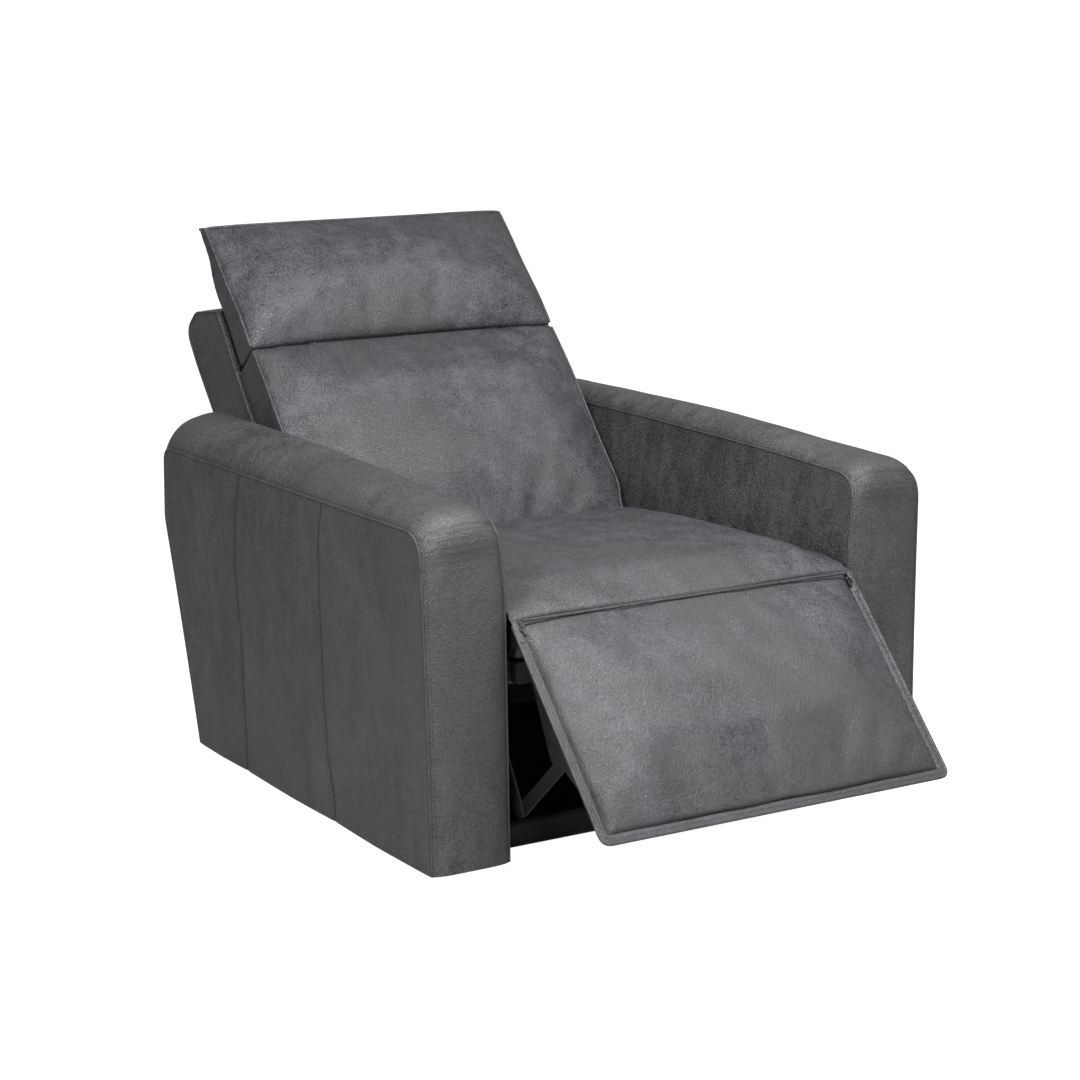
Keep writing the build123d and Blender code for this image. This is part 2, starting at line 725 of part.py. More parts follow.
def back_bracket():
    hinge = (hinge_on_back.X, hinge_on_back.Y)
    guide = (guide_on_back.X, guide_on_back.Y)
    plate = bar_between(back_side(BACK_POST_OUT), LINK_PLATE, [hinge, guide], 28)
    spine = bar_between(back_side(BACK_POST_OUT), LINK_PLATE, [hinge, (122, 60), (122, 200)], 30)
    hinge_pin = rod(BACK_POST_OUT + LINK_PLATE, AXLE_END - 1.5, BACK_HINGE, BACK_PIN)
    guide_pin = rod(BACK_POST_OUT + LINK_PLATE, BASE_PLATE_X + 3.5, GUIDE_PIN, PIN)
    return joined(plate, spine, hinge_pin, guide_pin)


back_bracket_right = back_bracket()
back_bracket_left = mirrored(back_bracket_right)

HINGE_TUBE = 12
hinge_tube = rod(-BACK_POST_OUT, BACK_POST_OUT, BACK_HINGE, HINGE_TUBE)
back_frame = cut_by(back_frame, rod(-BACK_POST_OUT, BACK_POST_OUT, BACK_HINGE, HINGE_TUBE + 0.2))
recline_lever = bar_between(side(RECLINE_X - 5), 10, [BACK_HINGE, RECLINE_PIN], 20)
recline_pin = rod(RECLINE_X - 14, RECLINE_X + 14, RECLINE_PIN, LEVER_PIN)
back_tube = joined(hinge_tube, recline_lever, recline_pin)

# Headrest: a board and cushion on a hinge bar, tipped by its own small drive in the back.
HEAD_HINGE = (20, 440)
HEAD_EAR_X = 206
HEAD_LEVER = 90
HEAD_LEVER_DROP = 20
head_hinge_place = on_back(*HEAD_HINGE)
head_pin_local = (
    HEAD_HINGE[0] + HEAD_LEVER * cos(radians(HEAD_LEVER_DROP)),
    HEAD_HINGE[1] - HEAD_LEVER * sin(radians(HEAD_LEVER_DROP)),
)
head_pin_place = on_back(*head_pin_local)
HEAD_PIN = 4

headrest_board = prism(back_side(-300), 600, [(40, 470), (40, 715), (52, 715), (52, 470)], 3)
head_outline = [
    (-38, 456),
    (-46, 530),
    (-36, 620),
    (-8, 700),
    (24, 752),
    (57, 755),
    (62, 690),
    (78, 640),
    (82, 590),
    (84, 470),
    (70, 458),
]
head_radii = [14, 60, 120, 120, 12, 10, 40, 20, 60, 14, 12]
with BuildPart() as headrest_cushion:
    add(prism(back_side(-SEAT_HALF), 2 * SEAT_HALF, head_outline, head_radii).part)
    ends = headrest_cushion.faces().filter_by(Axis.X).edges()
    front_rims = ends.filter_by(lambda edge: back_side(0).to_local_coords(edge.center()).X < 0)
    fillet(front_rims, radius=10)
    pocket = [(39.6, 440), (39.6, 715.5), (52.4, 715.5), (52.4, 440)]
    add(prism(back_side(-300.5), 601, pocket).part, mode=Mode.SUBTRACT)

head_bar = rod(-HEAD_EAR_X - 6, HEAD_EAR_X + 6, head_hinge_place, 5)
head_ear_outline = [(14, 434), (14, 446), (40, 453), (40, 470), (52, 470), (52, 450), (26, 434)]
head_ears = [prism(back_side(x), 4, head_ear_outline) for x in (-HEAD_EAR_X - 4, HEAD_EAR_X, -2)]
head_lever = bar_between(back_side(-4), 8, [HEAD_HINGE, head_pin_local], 14)
head_pin = rod(-13, 13, head_pin_place, HEAD_PIN)
headrest_hinge_bar = joined(head_bar, *head_ears, head_lever, head_pin)


def headrest_hinge(x):
    """A steel arm from the back's top rail forward to the headrest's hinge bar."""
    arm = bar_between(back_side(x), 4, [HEAD_HINGE, (112, 440)], 16, [(HEAD_HINGE, 5 + RUNNING)])
    riser = prism(back_side(x), 4, [(104, 432), (120, 432), (120, 532), (104, 532)], 2)
    return joined(arm, riser)


headrest_hinges = joined(headrest_hinge(HEAD_EAR_X - 6), headrest_hinge(-HEAD_EAR_X + 2))

head_rail = prism(back_side(-15), 30, [(122, 350), (122, 500), (134, 500), (134, 350)])
head_gearbox = prism(back_side(-22), 44, [(104, 250), (104, 318), (150, 318), (150, 250)], 6)
head_link_outline = [(140, 300), (140, 348), (122, 348), (122, 360), (150, 360), (150, 300)]
head_link = prism(back_side(-15), 30, head_link_outline)
head_can = prism(back_side(22), 64, [(108, 264), (108, 304), (146, 304), (146, 264)], 18)
headrest_motor = joined(head_rail, head_gearbox, head_link, head_can)

fork_low = head_pin_local[1] - 15
fork_high = head_pin_local[1] + 15
fork_half = FORK_INNER + 5
with BuildPart() as headrest_carriage:
    add(
        prism(
            back_side(-fork_half),
            2 * fork_half,
            [(96, fork_low), (96, fork_high), (121.6, fork_high), (121.6, fork_low)],
        ).part
    )
    gap = [(90, fork_low - 1), (90, fork_high + 1), (118.5, fork_high + 1), (118.5, fork_low - 1)]
    add(prism(back_side(-FORK_INNER + 1), 2 * FORK_INNER - 2, gap).part, mode=Mode.SUBTRACT)
    slot_half = HEAD_PIN + 0.8
    pin_up = head_pin_local[1]
    slot_low, slot_high = pin_up - slot_half, pin_up + slot_half
    slot = [(90, slot_low), (90, slot_high), (116, slot_high), (116, slot_low)]
    add(prism(back_side(-fork_half), 2 * fork_half, slot).part, mode=Mode.SUBTRACT)

pieces = {
    "arm_frame_left": arm_frame_left,
    "arm_frame_right": arm_frame_right,
    "arm_foam_left": arm_foam_left,
    "arm_foam_right": arm_foam_right,
    "arm_cover_left": arm_cover_left,
    "arm_cover_right": arm_cover_right,
    "control_panel": control_panel,
    "side_rail_left": side_rail_left,
    "side_rail_right": side_rail_right,
    "front_rail": front_rail,
    "rear_rail": rear_rail,
    "rear_valance": rear_valance,
    "power_inlet": power_inlet,
    "dust_cover": dust_cover,
    "glide_feet": glide_feet,
    "mechanism_plate_left": mechanism_plate_left,
    "mechanism_plate_right": mechanism_plate_right,
    "glide_track_left": glide_track_left,
    "glide_track_right": glide_track_right,
    "seat_frame": seat_frame,
    "seat_springs": seat_springs,
    "seat_cushion": seat_cushion,
    "seat_plate_left": seat_plate_left,
    "seat_plate_right": seat_plate_right,
    "track_runners": track_runners,
    "seat_cross_tube": seat_cross_tube,
    "footrest_motor": footrest_motor,
    "recline_motor": recline_motor,
    "footrest_carriage": footrest_carriage,
    "recline_carriage": recline_carriage,
    "torque_tube": torque_tube,
    "front_link_left": front_link_left,
    "front_link_right": front_link_right,
    "rear_link_left": rear_link_left,
    "rear_link_right": rear_link_right,
    "lift_bar_left": lift_bar_left,
    "lift_bar_right": lift_bar_right,
    "footrest_board": footrest_board,
    "footrest_cushion": footrest_cushion,
    "pad_bracket_left": pad_bracket_left,
    "pad_bracket_right": pad_bracket_right,
    "back_frame": back_frame,
    "back_webbing": back_webbing,
    "back_cushion": back_cushion,
    "back_shell": back_shell,
    "back_bracket_left": back_bracket_left,
    "back_bracket_right": back_bracket_right,
    "back_tube": back_tube,
    "headrest_board": headrest_board,
    "headrest_cushion": headrest_cushion,
    "headrest_hinge_bar": headrest_hinge_bar,
    "headrest_hinges": headrest_hinges,
    "headrest_motor": headrest_motor,
    "headrest_carriage": headrest_carriage,
}
button_names = ("footrest_button_out", "footrest_button_in", "back_button", "headrest_button")
for name, button in zip(button_names, buttons):
    pieces[name] = button

os.makedirs("parts", exist_ok=True)
for name, piece in pieces.items():
    piece.part.label = name
    export_step(piece.part, f"parts/{name}.step")
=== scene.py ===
import json
import math

import bmesh
import bpy
from mathutils import Matrix, Vector, noise
from mathutils.kdtree import KDTree
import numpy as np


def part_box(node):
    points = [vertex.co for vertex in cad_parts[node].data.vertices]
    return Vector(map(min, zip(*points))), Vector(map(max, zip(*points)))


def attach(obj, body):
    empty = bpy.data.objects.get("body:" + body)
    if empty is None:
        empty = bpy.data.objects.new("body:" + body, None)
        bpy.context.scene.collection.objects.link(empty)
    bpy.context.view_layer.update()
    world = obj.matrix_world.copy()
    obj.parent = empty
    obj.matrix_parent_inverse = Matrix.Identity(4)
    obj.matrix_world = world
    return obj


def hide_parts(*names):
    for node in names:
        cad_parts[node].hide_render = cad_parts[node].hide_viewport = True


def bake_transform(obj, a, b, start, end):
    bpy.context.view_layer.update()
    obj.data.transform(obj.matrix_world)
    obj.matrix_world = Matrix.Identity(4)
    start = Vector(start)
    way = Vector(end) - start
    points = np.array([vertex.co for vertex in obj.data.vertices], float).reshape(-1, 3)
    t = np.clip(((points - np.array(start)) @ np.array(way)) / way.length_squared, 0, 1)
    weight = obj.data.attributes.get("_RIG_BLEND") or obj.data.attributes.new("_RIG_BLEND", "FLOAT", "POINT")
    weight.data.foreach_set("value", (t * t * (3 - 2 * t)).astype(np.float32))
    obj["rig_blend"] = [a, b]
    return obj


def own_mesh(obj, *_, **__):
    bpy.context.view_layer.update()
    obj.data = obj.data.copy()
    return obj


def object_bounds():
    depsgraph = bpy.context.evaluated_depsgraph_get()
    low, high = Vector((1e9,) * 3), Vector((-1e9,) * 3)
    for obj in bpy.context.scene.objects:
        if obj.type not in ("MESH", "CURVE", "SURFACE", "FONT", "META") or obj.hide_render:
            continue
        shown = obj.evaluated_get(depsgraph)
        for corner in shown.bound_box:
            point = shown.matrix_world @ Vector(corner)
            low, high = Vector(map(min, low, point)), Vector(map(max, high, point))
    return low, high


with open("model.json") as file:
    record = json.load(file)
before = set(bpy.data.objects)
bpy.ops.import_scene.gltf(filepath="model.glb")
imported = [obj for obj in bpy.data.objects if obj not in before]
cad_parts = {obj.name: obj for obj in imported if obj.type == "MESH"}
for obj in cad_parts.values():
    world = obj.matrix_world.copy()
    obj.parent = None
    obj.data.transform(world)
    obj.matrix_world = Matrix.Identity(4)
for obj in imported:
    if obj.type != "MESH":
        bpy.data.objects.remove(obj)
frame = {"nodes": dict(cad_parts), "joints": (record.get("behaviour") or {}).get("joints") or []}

cad_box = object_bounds()

# ---- Where the chair stands ----
# A plain studio floor and room that the camera sees as white, a wide soft lamp overhead, one
# softbox low in front and one high at the left.
paint = bpy.data.materials.new("studio_paint")
paint.use_nodes = True
paint_shader = paint.node_tree.nodes["Principled BSDF"]
paint_shader.inputs["Base Color"].default_value = (0.42, 0.42, 0.42, 1)
paint_shader.inputs["Emission Color"].default_value = (1, 1, 1, 1)
paint_shader.inputs["Roughness"].default_value = 0.85
floor_seen = paint.node_tree.nodes.new("ShaderNodeLightPath")
paint.node_tree.links.new(floor_seen.outputs["Is Camera Ray"], paint_shader.inputs["Emission Strength"])

floor_bm = bmesh.new()
bmesh.ops.create_grid(floor_bm, x_segments=1, y_segments=1, size=40)
floor_mesh = bpy.data.meshes.new("studio_floor")
floor_bm.to_mesh(floor_mesh)
floor = bpy.data.objects.new("studio_floor", floor_mesh)
floor.data.materials.append(paint)
bpy.context.scene.collection.objects.link(floor)

room = bpy.data.worlds.new("studio_room")
room.use_nodes = True
room_nodes = room.node_tree.nodes
room_light = room_nodes["Background"]
room_light.inputs["Strength"].default_value = 0.34
backdrop = room_nodes.new("ShaderNodeBackground")
backdrop.inputs["Strength"].default_value = 1.0
for lit in (room_light, backdrop):
    lit.inputs["Color"].default_value = (1, 1, 1, 1)
seen = room_nodes.new("ShaderNodeLightPath")
either = room_nodes.new("ShaderNodeMixShader")
for source, socket in (
    (seen.outputs["Is Camera Ray"], either.inputs[0]),
    (room_light.outputs[0], either.inputs[1]),
    (backdrop.outputs[0], either.inputs[2]),
    (either.outputs[0], room_nodes["World Output"].inputs["Surface"]),
):
    room.node_tree.links.new(source, socket)
bpy.context.scene.world = room
bpy.context.scene.view_settings.view_transform = "Standard"

chair_middle = (cad_box[0] + cad_box[1]) / 2


def softbox(name, place, width, height, power):
    """A flat studio lamp at place, turned to the middle of the chair."""
    lamp = bpy.data.lights.new(name, "AREA")
    lamp.shape = "RECTANGLE"
    lamp.size = width
    lamp.size_y = height
    lamp.energy = power
    stand = bpy.data.objects.new(name, lamp)
    stand.location = place
    stand.rotation_euler = (chair_middle - Vector(place)).to_track_quat("-Z", "Y").to_euler()
    bpy.context.scene.collection.objects.link(stand)


softbox("lamp_overhead", (-0.1, -1.2, 2.5), 2.2, 0.8, 100)
softbox("lamp_key", (-0.7, -3.3, 1.5), 1.0, 0.8, 36)
softbox("lamp_side", (-2.6, -1.6, 2.5), 0.7, 1.0, 58)

camera_place = Vector((-2.34, -4.025, 1.37))
camera_turn = math.radians(-30.3)
camera_tilt = math.radians(11.4)
camera_roll = math.radians(-0.91)
back_of_camera = Vector(
    (
        math.sin(camera_turn) * math.cos(camera_tilt),
        -math.cos(camera_turn) * math.cos(camera_tilt),
        math.sin(camera_tilt),
    )
)
level = Vector((0, 0, 1)).cross(back_of_camera).normalized()
upright = back_of_camera.cross(level)
right = math.cos(camera_roll) * level + math.sin(camera_roll) * upright
up = math.cos(camera_roll) * upright - math.sin(camera_roll) * level
lens = bpy.data.cameras.new("camera")
lens.lens = 84.7
lens.sensor_width = 36
camera = bpy.data.objects.new("camera", lens)
camera_axes = Matrix((right, up, back_of_camera)).transposed().to_4x4()
camera.matrix_world = Matrix.Translation(camera_place) @ camera_axes
bpy.context.scene.collection.objects.link(camera)
bpy.context.scene.camera = camera

# ---- Arms ----
# Each arm wears one sewn leather cover: an outer panel of three strips, an inner panel, and a
# boxing strip over the front, top and rear, with a thin welt in both long seams. Below the
# seat the inner panel is black lining cloth. The cover is open underneath, with a turned hem.


class Amount:
    """A number that changes over a surface, so that it can stand in a formula."""

    def __init__(self, finish, socket):
        self.finish = finish
        self.socket = socket

    def sum_with(self, operation, first, second):
        made = self.finish.node("ShaderNodeMath", {"operation": operation}, {0: first, 1: second})
        return Amount(self.finish, made.outputs[0])

    def __add__(self, other):
        return self.sum_with("ADD", self, other)

    def __radd__(self, other):
        return self.sum_with("ADD", other, self)

    def __sub__(self, other):
        return self.sum_with("SUBTRACT", self, other)

    def __rsub__(self, other):
        return self.sum_with("SUBTRACT", other, self)

    def __mul__(self, other):
        return self.sum_with("MULTIPLY", self, other)


class Finish:
    """A material under construction: its Principled shader and the nodes that feed it."""

    def __init__(self, name):
        self.material = bpy.data.materials.new(name)
        self.material.use_nodes = True
        self.tree = self.material.node_tree
        self.shader = self.tree.nodes["Principled BSDF"]

    def node(self, kind, settings, inputs):
        made = self.tree.nodes.new(kind)
        for key, value in settings.items():
            if key == "stops":
                ramp = made.color_ramp.elements
                while len(ramp) < len(value):
                    ramp.new(0.5)
                for stop, (position, shade) in zip(ramp, value):
                    stop.position = position
                    stop.color = (shade, shade, shade, 1)
            else:
                setattr(made, key, value)
        for key, value in inputs.items():
            self.feed(made.inputs[key], value)
        return made

    def feed(self, socket, value):
        if isinstance(value, Amount):
            self.tree.links.new(value.socket, socket)
        elif isinstance(value, bpy.types.NodeSocket):
            self.tree.links.new(value, socket)
        else:
            socket.default_value = value

    def place(self, scale=(1, 1, 1), turn=(0, 0, 0)):
        """Object coordinates, stretched and turned."""
        where = self.node("ShaderNodeTexCoord", {}, {})
        mapped = self.node(
            "ShaderNodeMapping", {}, {"Vector": where.outputs["Object"], "Scale": scale, "Rotation": turn}
        )
        return mapped.outputs[0]

    def clouds(self, where, scale, detail=3.0, roughness=0.5):
        made = self.node(
            "ShaderNodeTexNoise",
            {},
            {"Vector": where, "Scale": scale, "Detail": detail, "Roughness": roughness},
        )
        return Amount(self, made.outputs["Fac"])

    def cells(self, where, scale, feature="F1"):
        made = self.node("ShaderNodeTexVoronoi", {"feature": feature}, {"Vector": where, "Scale": scale})
        return Amount(self, made.outputs["Distance"])

    def bands(self, where, scale, direction="X", **more):
        made = self.node(
            "ShaderNodeTexWave",
            {"wave_type": "BANDS", "bands_direction": direction},
            {"Vector": where, "Scale": scale, **more},
        )
        return Amount(self, made.outputs["Fac"])

    def between(self, amount, low, high, start=0.0, end=1.0):
        """amount, kept to low..high and stretched to start..end."""
        made = self.node(
            "ShaderNodeMapRange",
            {"interpolation_type": "SMOOTHSTEP"},
            {"Value": amount, "From Min": low, "From Max": high, "To Min": start, "To Max": end},
        )
        return Amount(self, made.outputs["Result"])

    def blend(self, amount, first, second):
        """A colour between two colours."""
        made = self.node("ShaderNodeMix", {"data_type": "RGBA"}, {"Factor": amount})
        for socket, colour in ((made.inputs[6], first), (made.inputs[7], second)):
            self.feed(socket, (*colour, 1) if isinstance(colour, tuple) else colour)
        return made.outputs[2]

    def raised(self, height, distance, strength=1.0):
        made = self.node(
            "ShaderNodeBump", {}, {"Height": height, "Distance": distance, "Strength": strength}
        )
        self.feed(self.shader.inputs["Normal"], made.outputs["Normal"])

    def painted(self, **values):
        for key, value in values.items():
            self.feed(self.shader.inputs[key.replace("_", " ").title()], value)
        return self.material


def leather(name, dark, light, warm, streak):
    """Aniline leather with a pebbled grain: cloudy two-tone dye, satin on top, matt in the pores."""
    finish = Finish(name)
    flat = finish.place()
    drawn = finish.place(scale=streak)
    dye = finish.clouds(drawn, 9.0, 6.0, 0.68)
    patches = finish.clouds(drawn, 34.0, 4.0, 0.65)
    hue = finish.clouds(flat, 3.6, 4.0)
    speckle = finish.clouds(flat, 250.0, 2.0, 0.65)
    wobble = finish.node(
        "ShaderNodeTexNoise", {}, {"Vector": flat, "Scale": 140.0, "Detail": 2.0}
    ).outputs["Color"]
    swayed = finish.node(
        "ShaderNodeVectorMath",
        {"operation": "MULTIPLY_ADD"},
        {0: wobble, 1: (0.006, 0.006, 0.006), 2: flat},
    ).outputs[0]
    pebbles = finish.cells(swayed, 400.0, "SMOOTH_F1")
    gaps = finish.cells(swayed, 400.0, "DISTANCE_TO_EDGE")
    creases = finish.cells(finish.place(scale=(1, 1, 0.8)), 95.0, "DISTANCE_TO_EDGE")
    # seam: closeness to a seam, written on each skin; below it is the mask for painted shade along the seams
    seam = Amount(finish, finish.node("ShaderNodeAttribute", {"attribute_name": "seam"}, {}).outputs["Fac"])
    pore = finish.between(gaps, 0.0, 0.20, 1.0, 0.0)
    grain = finish.between(speckle, 0.40, 0.60)
    depth = finish.between(dye * 0.55 + patches * 0.45, 0.36, 0.66)
    tone = finish.blend(depth * 0.55 + grain * 0.45, dark, light)
    tone = finish.blend(finish.between(hue, 0.42, 0.64, 0.0, 0.7), tone, warm)
    tone = finish.blend(pore * 0.5, tone, tuple(0.40 * part for part in dark))
    # Painted shade: the leather darkened in and beside each seam gap, where shade falls
    tone = finish.blend(seam * 0.8, tone, tuple(0.25 * part for part in dark))
    crease_line = finish.between(creases, 0.0, 0.05, 1.0, 0.0)
    height = 1.0 - pebbles * 0.9 + grain * 0.5 - pore * 0.5 - crease_line * 0.16
    finish.raised(height, 0.0007, 0.75)
    finish.feed(finish.shader.inputs["Specular IOR Level"], 0.62)
    return finish.painted(
        base_color=tone,
        roughness=finish.between(patches * 0.5 + grain * 0.5, 0.2, 0.8, 0.29, 0.44) + pore * 0.14,
    )


arm_leather = leather(
    "arm_leather", (0.014, 0.013, 0.014), (0.102, 0.097, 0.101), (0.058, 0.051, 0.050), (1, 1, 0.5)
)


def lining_cloth():
    """Plain black polypropylene lining, in a close weave; on the frame rails it is painted shade."""
    finish = Finish("black_lining_and_painted_shade")
    where = finish.place()
    weave = finish.bands(where, 420.0, "Y") * 0.5 + finish.bands(where, 420.0, "Z") * 0.5
    dust = finish.clouds(where, 18.0, 4.0)
    finish.raised(weave, 0.0002, 0.5)
    return finish.painted(
        base_color=finish.blend(weave * 0.5 + dust * 0.5, (0.004, 0.004, 0.005), (0.014, 0.014, 0.016)),
        roughness=0.85 - dust * 0.1,
    )


black_lining_and_painted_shade = lining_cloth()


def thread(name, colour):
    """Twisted bonded thread."""
    finish = Finish(name)
    where = finish.place(scale=(1, 1.6, 1), turn=(0.6, 0.2, 0.5))
    twist = finish.bands(where, 900.0)
    finish.raised(twist, 0.0002, 0.6)
    shade = tuple(0.5 * part for part in colour)
    return finish.painted(base_color=finish.blend(twist, shade, colour), roughness=0.7 - twist * 0.15)


dark_thread = thread("dark_thread", (0.035, 0.033, 0.034))


def rounded(points, radii, steps=9):
    """A line through points with its inner corners rounded off."""
    line = [Vector(points[0])]
    for before, corner, after, radius in zip(points, points[1:], points[2:], radii):
        before, corner, after = Vector(before), Vector(corner), Vector(after)
        to_before = (before - corner).normalized()
        to_after = (after - corner).normalized()
        reach = radius / math.tan(to_before.angle(to_after) / 2)
        start, end = corner + to_before * reach, corner + to_after * reach
        for step in range(steps + 1):
            share = step / steps
            line.append(start.lerp(corner, share).lerp(corner.lerp(end, share), share))
    line.append(Vector(points[-1]))
    return line


def along(line, count, crowd=0.0):
    """count + 1 points spread along a line; crowd gathers them towards both ends."""
    lengths = [0.0]
    for first, second in zip(line, line[1:]):
        lengths.append(lengths[-1] + (second - first).length)
    spread = []
    leg = 0
    for step in range(count + 1):
        share = step / count
        share = (1 - crowd) * share + crowd * (0.5 - 0.5 * math.cos(math.pi * share))
        want = share * lengths[-1]
        while leg < len(line) - 2 and lengths[leg + 1] < want:
            leg += 1
        part = (want - lengths[leg]) / max(lengths[leg + 1] - lengths[leg], 1e-9)
        spread.append(line[leg].lerp(line[leg + 1], min(max(part, 0.0), 1.0)))
    return spread


def panel(bm, near, far, low, high, puff):
    """One sewn panel between four edge lines; puff(point, to_seam) moves a point off the flat."""
    columns, rows = len(low) - 1, len(near) - 1
    seam = bm.verts.layers.float.get("seam") or bm.verts.layers.float.new("seam")
    grid = bmesh.ops.create_grid(bm, x_segments=columns, y_segments=rows, size=1)["verts"]
    for vert in grid:
        i = round((vert.co.x + 1) / 2 * columns)
        j = round((vert.co.y + 1) / 2 * rows)
        u, v = i / columns, j / rows
        corners = (low[0].lerp(low[-1], u)).lerp(high[0].lerp(high[-1], u), v)
        flat = low[i].lerp(high[i], v) + near[j].lerp(far[j], u) - corners
        to_seam = min((flat - edge).length for edge in (near[j], far[j], high[i]))
        # closeness to the seams: the mask for the painted shade that the leather shaders put along them
        vert[seam] = math.exp(-to_seam / 0.003)
        vert.co = puff(flat, to_seam)
    return grid


def finished(name, bm, *finishes):
    """A bmesh made into an object at the origin, smooth shaded."""
    for face in bm.faces:
        face.smooth = True
    mesh = bpy.data.meshes.new(name)
    bm.to_mesh(mesh)
    bm.free()
    for finish in finishes:
        mesh.materials.append(finish)
    piece = bpy.data.objects.new(name, mesh)
    bpy.context.scene.collection.objects.link(piece)
    return piece


def welt(name, lines, radius, finish):
    """Thin leather-covered cords laid along lines, as one piece."""
    curve = bpy.data.curves.new(name, "CURVE")
    curve.dimensions = "3D"
    curve.bevel_depth = radius
    curve.bevel_resolution = 3
    curve.use_fill_caps = True
    for line in lines:
        spline = curve.splines.new("POLY")
        spline.points.add(len(line) - 1)
        for point, place in zip(spline.points, line):
            point.co = (*place, 1)
    pattern = bpy.data.objects.new(name + "_line", curve)
    bpy.context.scene.collection.objects.link(pattern)
    shaped = pattern.evaluated_get(bpy.context.evaluated_depsgraph_get())
    mesh = bpy.data.meshes.new_from_object(shaped)
    bpy.data.objects.remove(pattern)
    bm = bmesh.new()
    bm.from_mesh(mesh)
    bpy.data.meshes.remove(mesh)
    return finished(name, bm, finish)


def stitching(name, rows, finish, pitch=0.0046, size=(0.0017, 0.0006, 0.0005)):
    """Rows of single stitches; a row is a line of points and the way out of the leather."""
    bm = bmesh.new()
    for line, outwards in rows:
        length = sum((second - first).length for first, second in zip(line, line[1:]))
        places = along(line, max(2, round(length / pitch)))
        for first, second in zip(places, places[1:]):
            way = (second - first).normalized()
            out = outwards((first + second) / 2) if callable(outwards) else outwards
            side = way.cross(out).normalized()
            turned = Matrix((way, side, side.cross(way))).transposed().to_4x4()
            placed = Matrix.Translation((first + second) / 2) @ turned @ Matrix.Diagonal((*size, 1))
            bmesh.ops.create_icosphere(bm, subdivisions=1, radius=1, matrix=placed)
    return finished(name, bm, finish)


arm_low, arm_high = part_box("arm_cover_right")
arm_front = arm_low.y
arm_hem = arm_low.z
arm_rear = arm_high.y - arm_front
SEAM_HEIGHT = 0.581
STRIP_SEAMS = (
    ((0.361, 0.05), (0.383, 0.12), (0.390, 0.229), (0.389, 0.408), (0.380, 0.516), (0.358, 0.58)),
    ((0.737, 0.05), (0.739, 0.15), (0.740, 0.270), (0.752, 0.398), (0.736, 0.495), (0.703, 0.58)),
)


def arm_line(top_points, top_radii):
    """The seam line round an arm's side, as (depth, height): up the front, over the top, down the rear."""
    points = [(0.003, arm_hem), (0.003, top_points[0])]
    radii = [0.050]
    for point, radius in top_radii:
        points.append(point)
        radii.append(radius)
    points += [(arm_rear - 0.019, top_points[1]), (arm_rear, 0.44), (0.964, arm_hem)]
    radii += [0.034, 0.06]
    return rounded(points, radii), Vector(points[1]), Vector((arm_rear - 0.019, top_points[1]))


outer_seam, outer_front_corner, outer_rear_corner = arm_line((SEAM_HEIGHT, SEAM_HEIGHT), [])
inner_seam, inner_front_corner, inner_rear_corner = arm_line(
    (0.587, 0.614), [((0.27, 0.599), 0.3), ((0.68, 0.610), 0.3)]
)


def arm_runs(line, front_corner, rear_corner):
    """The seam line in five runs: front, three along the top, and rear."""
    line = along(line, 1200)
    turn = min(range(len(line)), key=lambda i: (line[i] - front_corner).length)
    back_turn = min(range(len(line)), key=lambda i: (line[i] - rear_corner).length)
    splits = [turn]
    for strip in STRIP_SEAMS:
        splits.append(min(range(turn, back_turn), key=lambda i: abs(line[i].x - strip[-1][0])))
    splits.append(back_turn)
    ends = [0, *splits, len(line) - 1]
    counts = (120, 56, 56, 56, 96)
    return [along(line[a : b + 1], n, 0.75) for a, b, n in zip(ends, ends[1:], counts)]


def outer_x(height):
    return arm_high.x - 0.004 + 0.009 * (height / SEAM_HEIGHT) ** 2


def inner_x(height):
    rise = min(max((height - 0.44) / 0.16, 0.0), 1.0)
    return arm_low.x + 0.001 + 0.011 * rise * rise * (3 - 2 * rise)


def placed_outside(point):
    return Vector((outer_x(point.y), arm_front + point.x, point.y))


def placed_inside(point):
    return Vector((inner_x(point.y), arm_front + point.x, point.y))


outer_runs = arm_runs(outer_seam, outer_front_corner, outer_rear_corner)
outer_runs = [[placed_outside(p) for p in run] for run in outer_runs]
inner_runs = arm_runs(inner_seam, inner_front_corner, inner_rear_corner)
inner_runs = [[placed_inside(p) for p in run] for run in inner_runs]


def joined_runs(runs):
    line = list(runs[0])
    for run in runs[1:]:
        line += run[1:]
    return line


outer_line = joined_runs(outer_runs)
inner_line = joined_runs(inner_runs)
arm_wave = 0.0012
hem_turn = 0.014
lining_top = 0.34
lining_start = 0.026


def outer_puff(point, to_seam):
    """Outwards: a quick roll off each seam, then a shallow belly with slow waves."""
    roll = 1 - math.exp(-to_seam / 0.0045)
    wave = noise.noise(Vector((point.y * 5, point.z * 2.2, 7.1)))
    return point + Vector((0.0022 * roll + min(to_seam / 0.16, 1) * (0.0035 + arm_wave * wave), 0, 0))


def inner_puff(point, to_seam):
    """Inwards, and nearly flat, because the seat runs close by."""
    roll = 1 - math.exp(-to_seam / 0.0045)
    wave = noise.noise(Vector((point.y * 6, point.z * 3, 2.7)))
    return point - Vector((0.0012 * roll + 0.0008 * wave * min(to_seam / 0.05, 1), 0, 0))


def crown(front, top_low, top_high, rear, depth, way):
    """How far the boxing strip stands proud at mid width, facing way, at a depth."""
    share = min(max(depth / 0.6, 0.0), 1.0)
    top = top_low + (top_high - top_low) * share * share * (3 - 2 * share)
    return front * max(0.0, -way.y) + top * max(0.0, way.z) + rear * max(0.0, way.y)


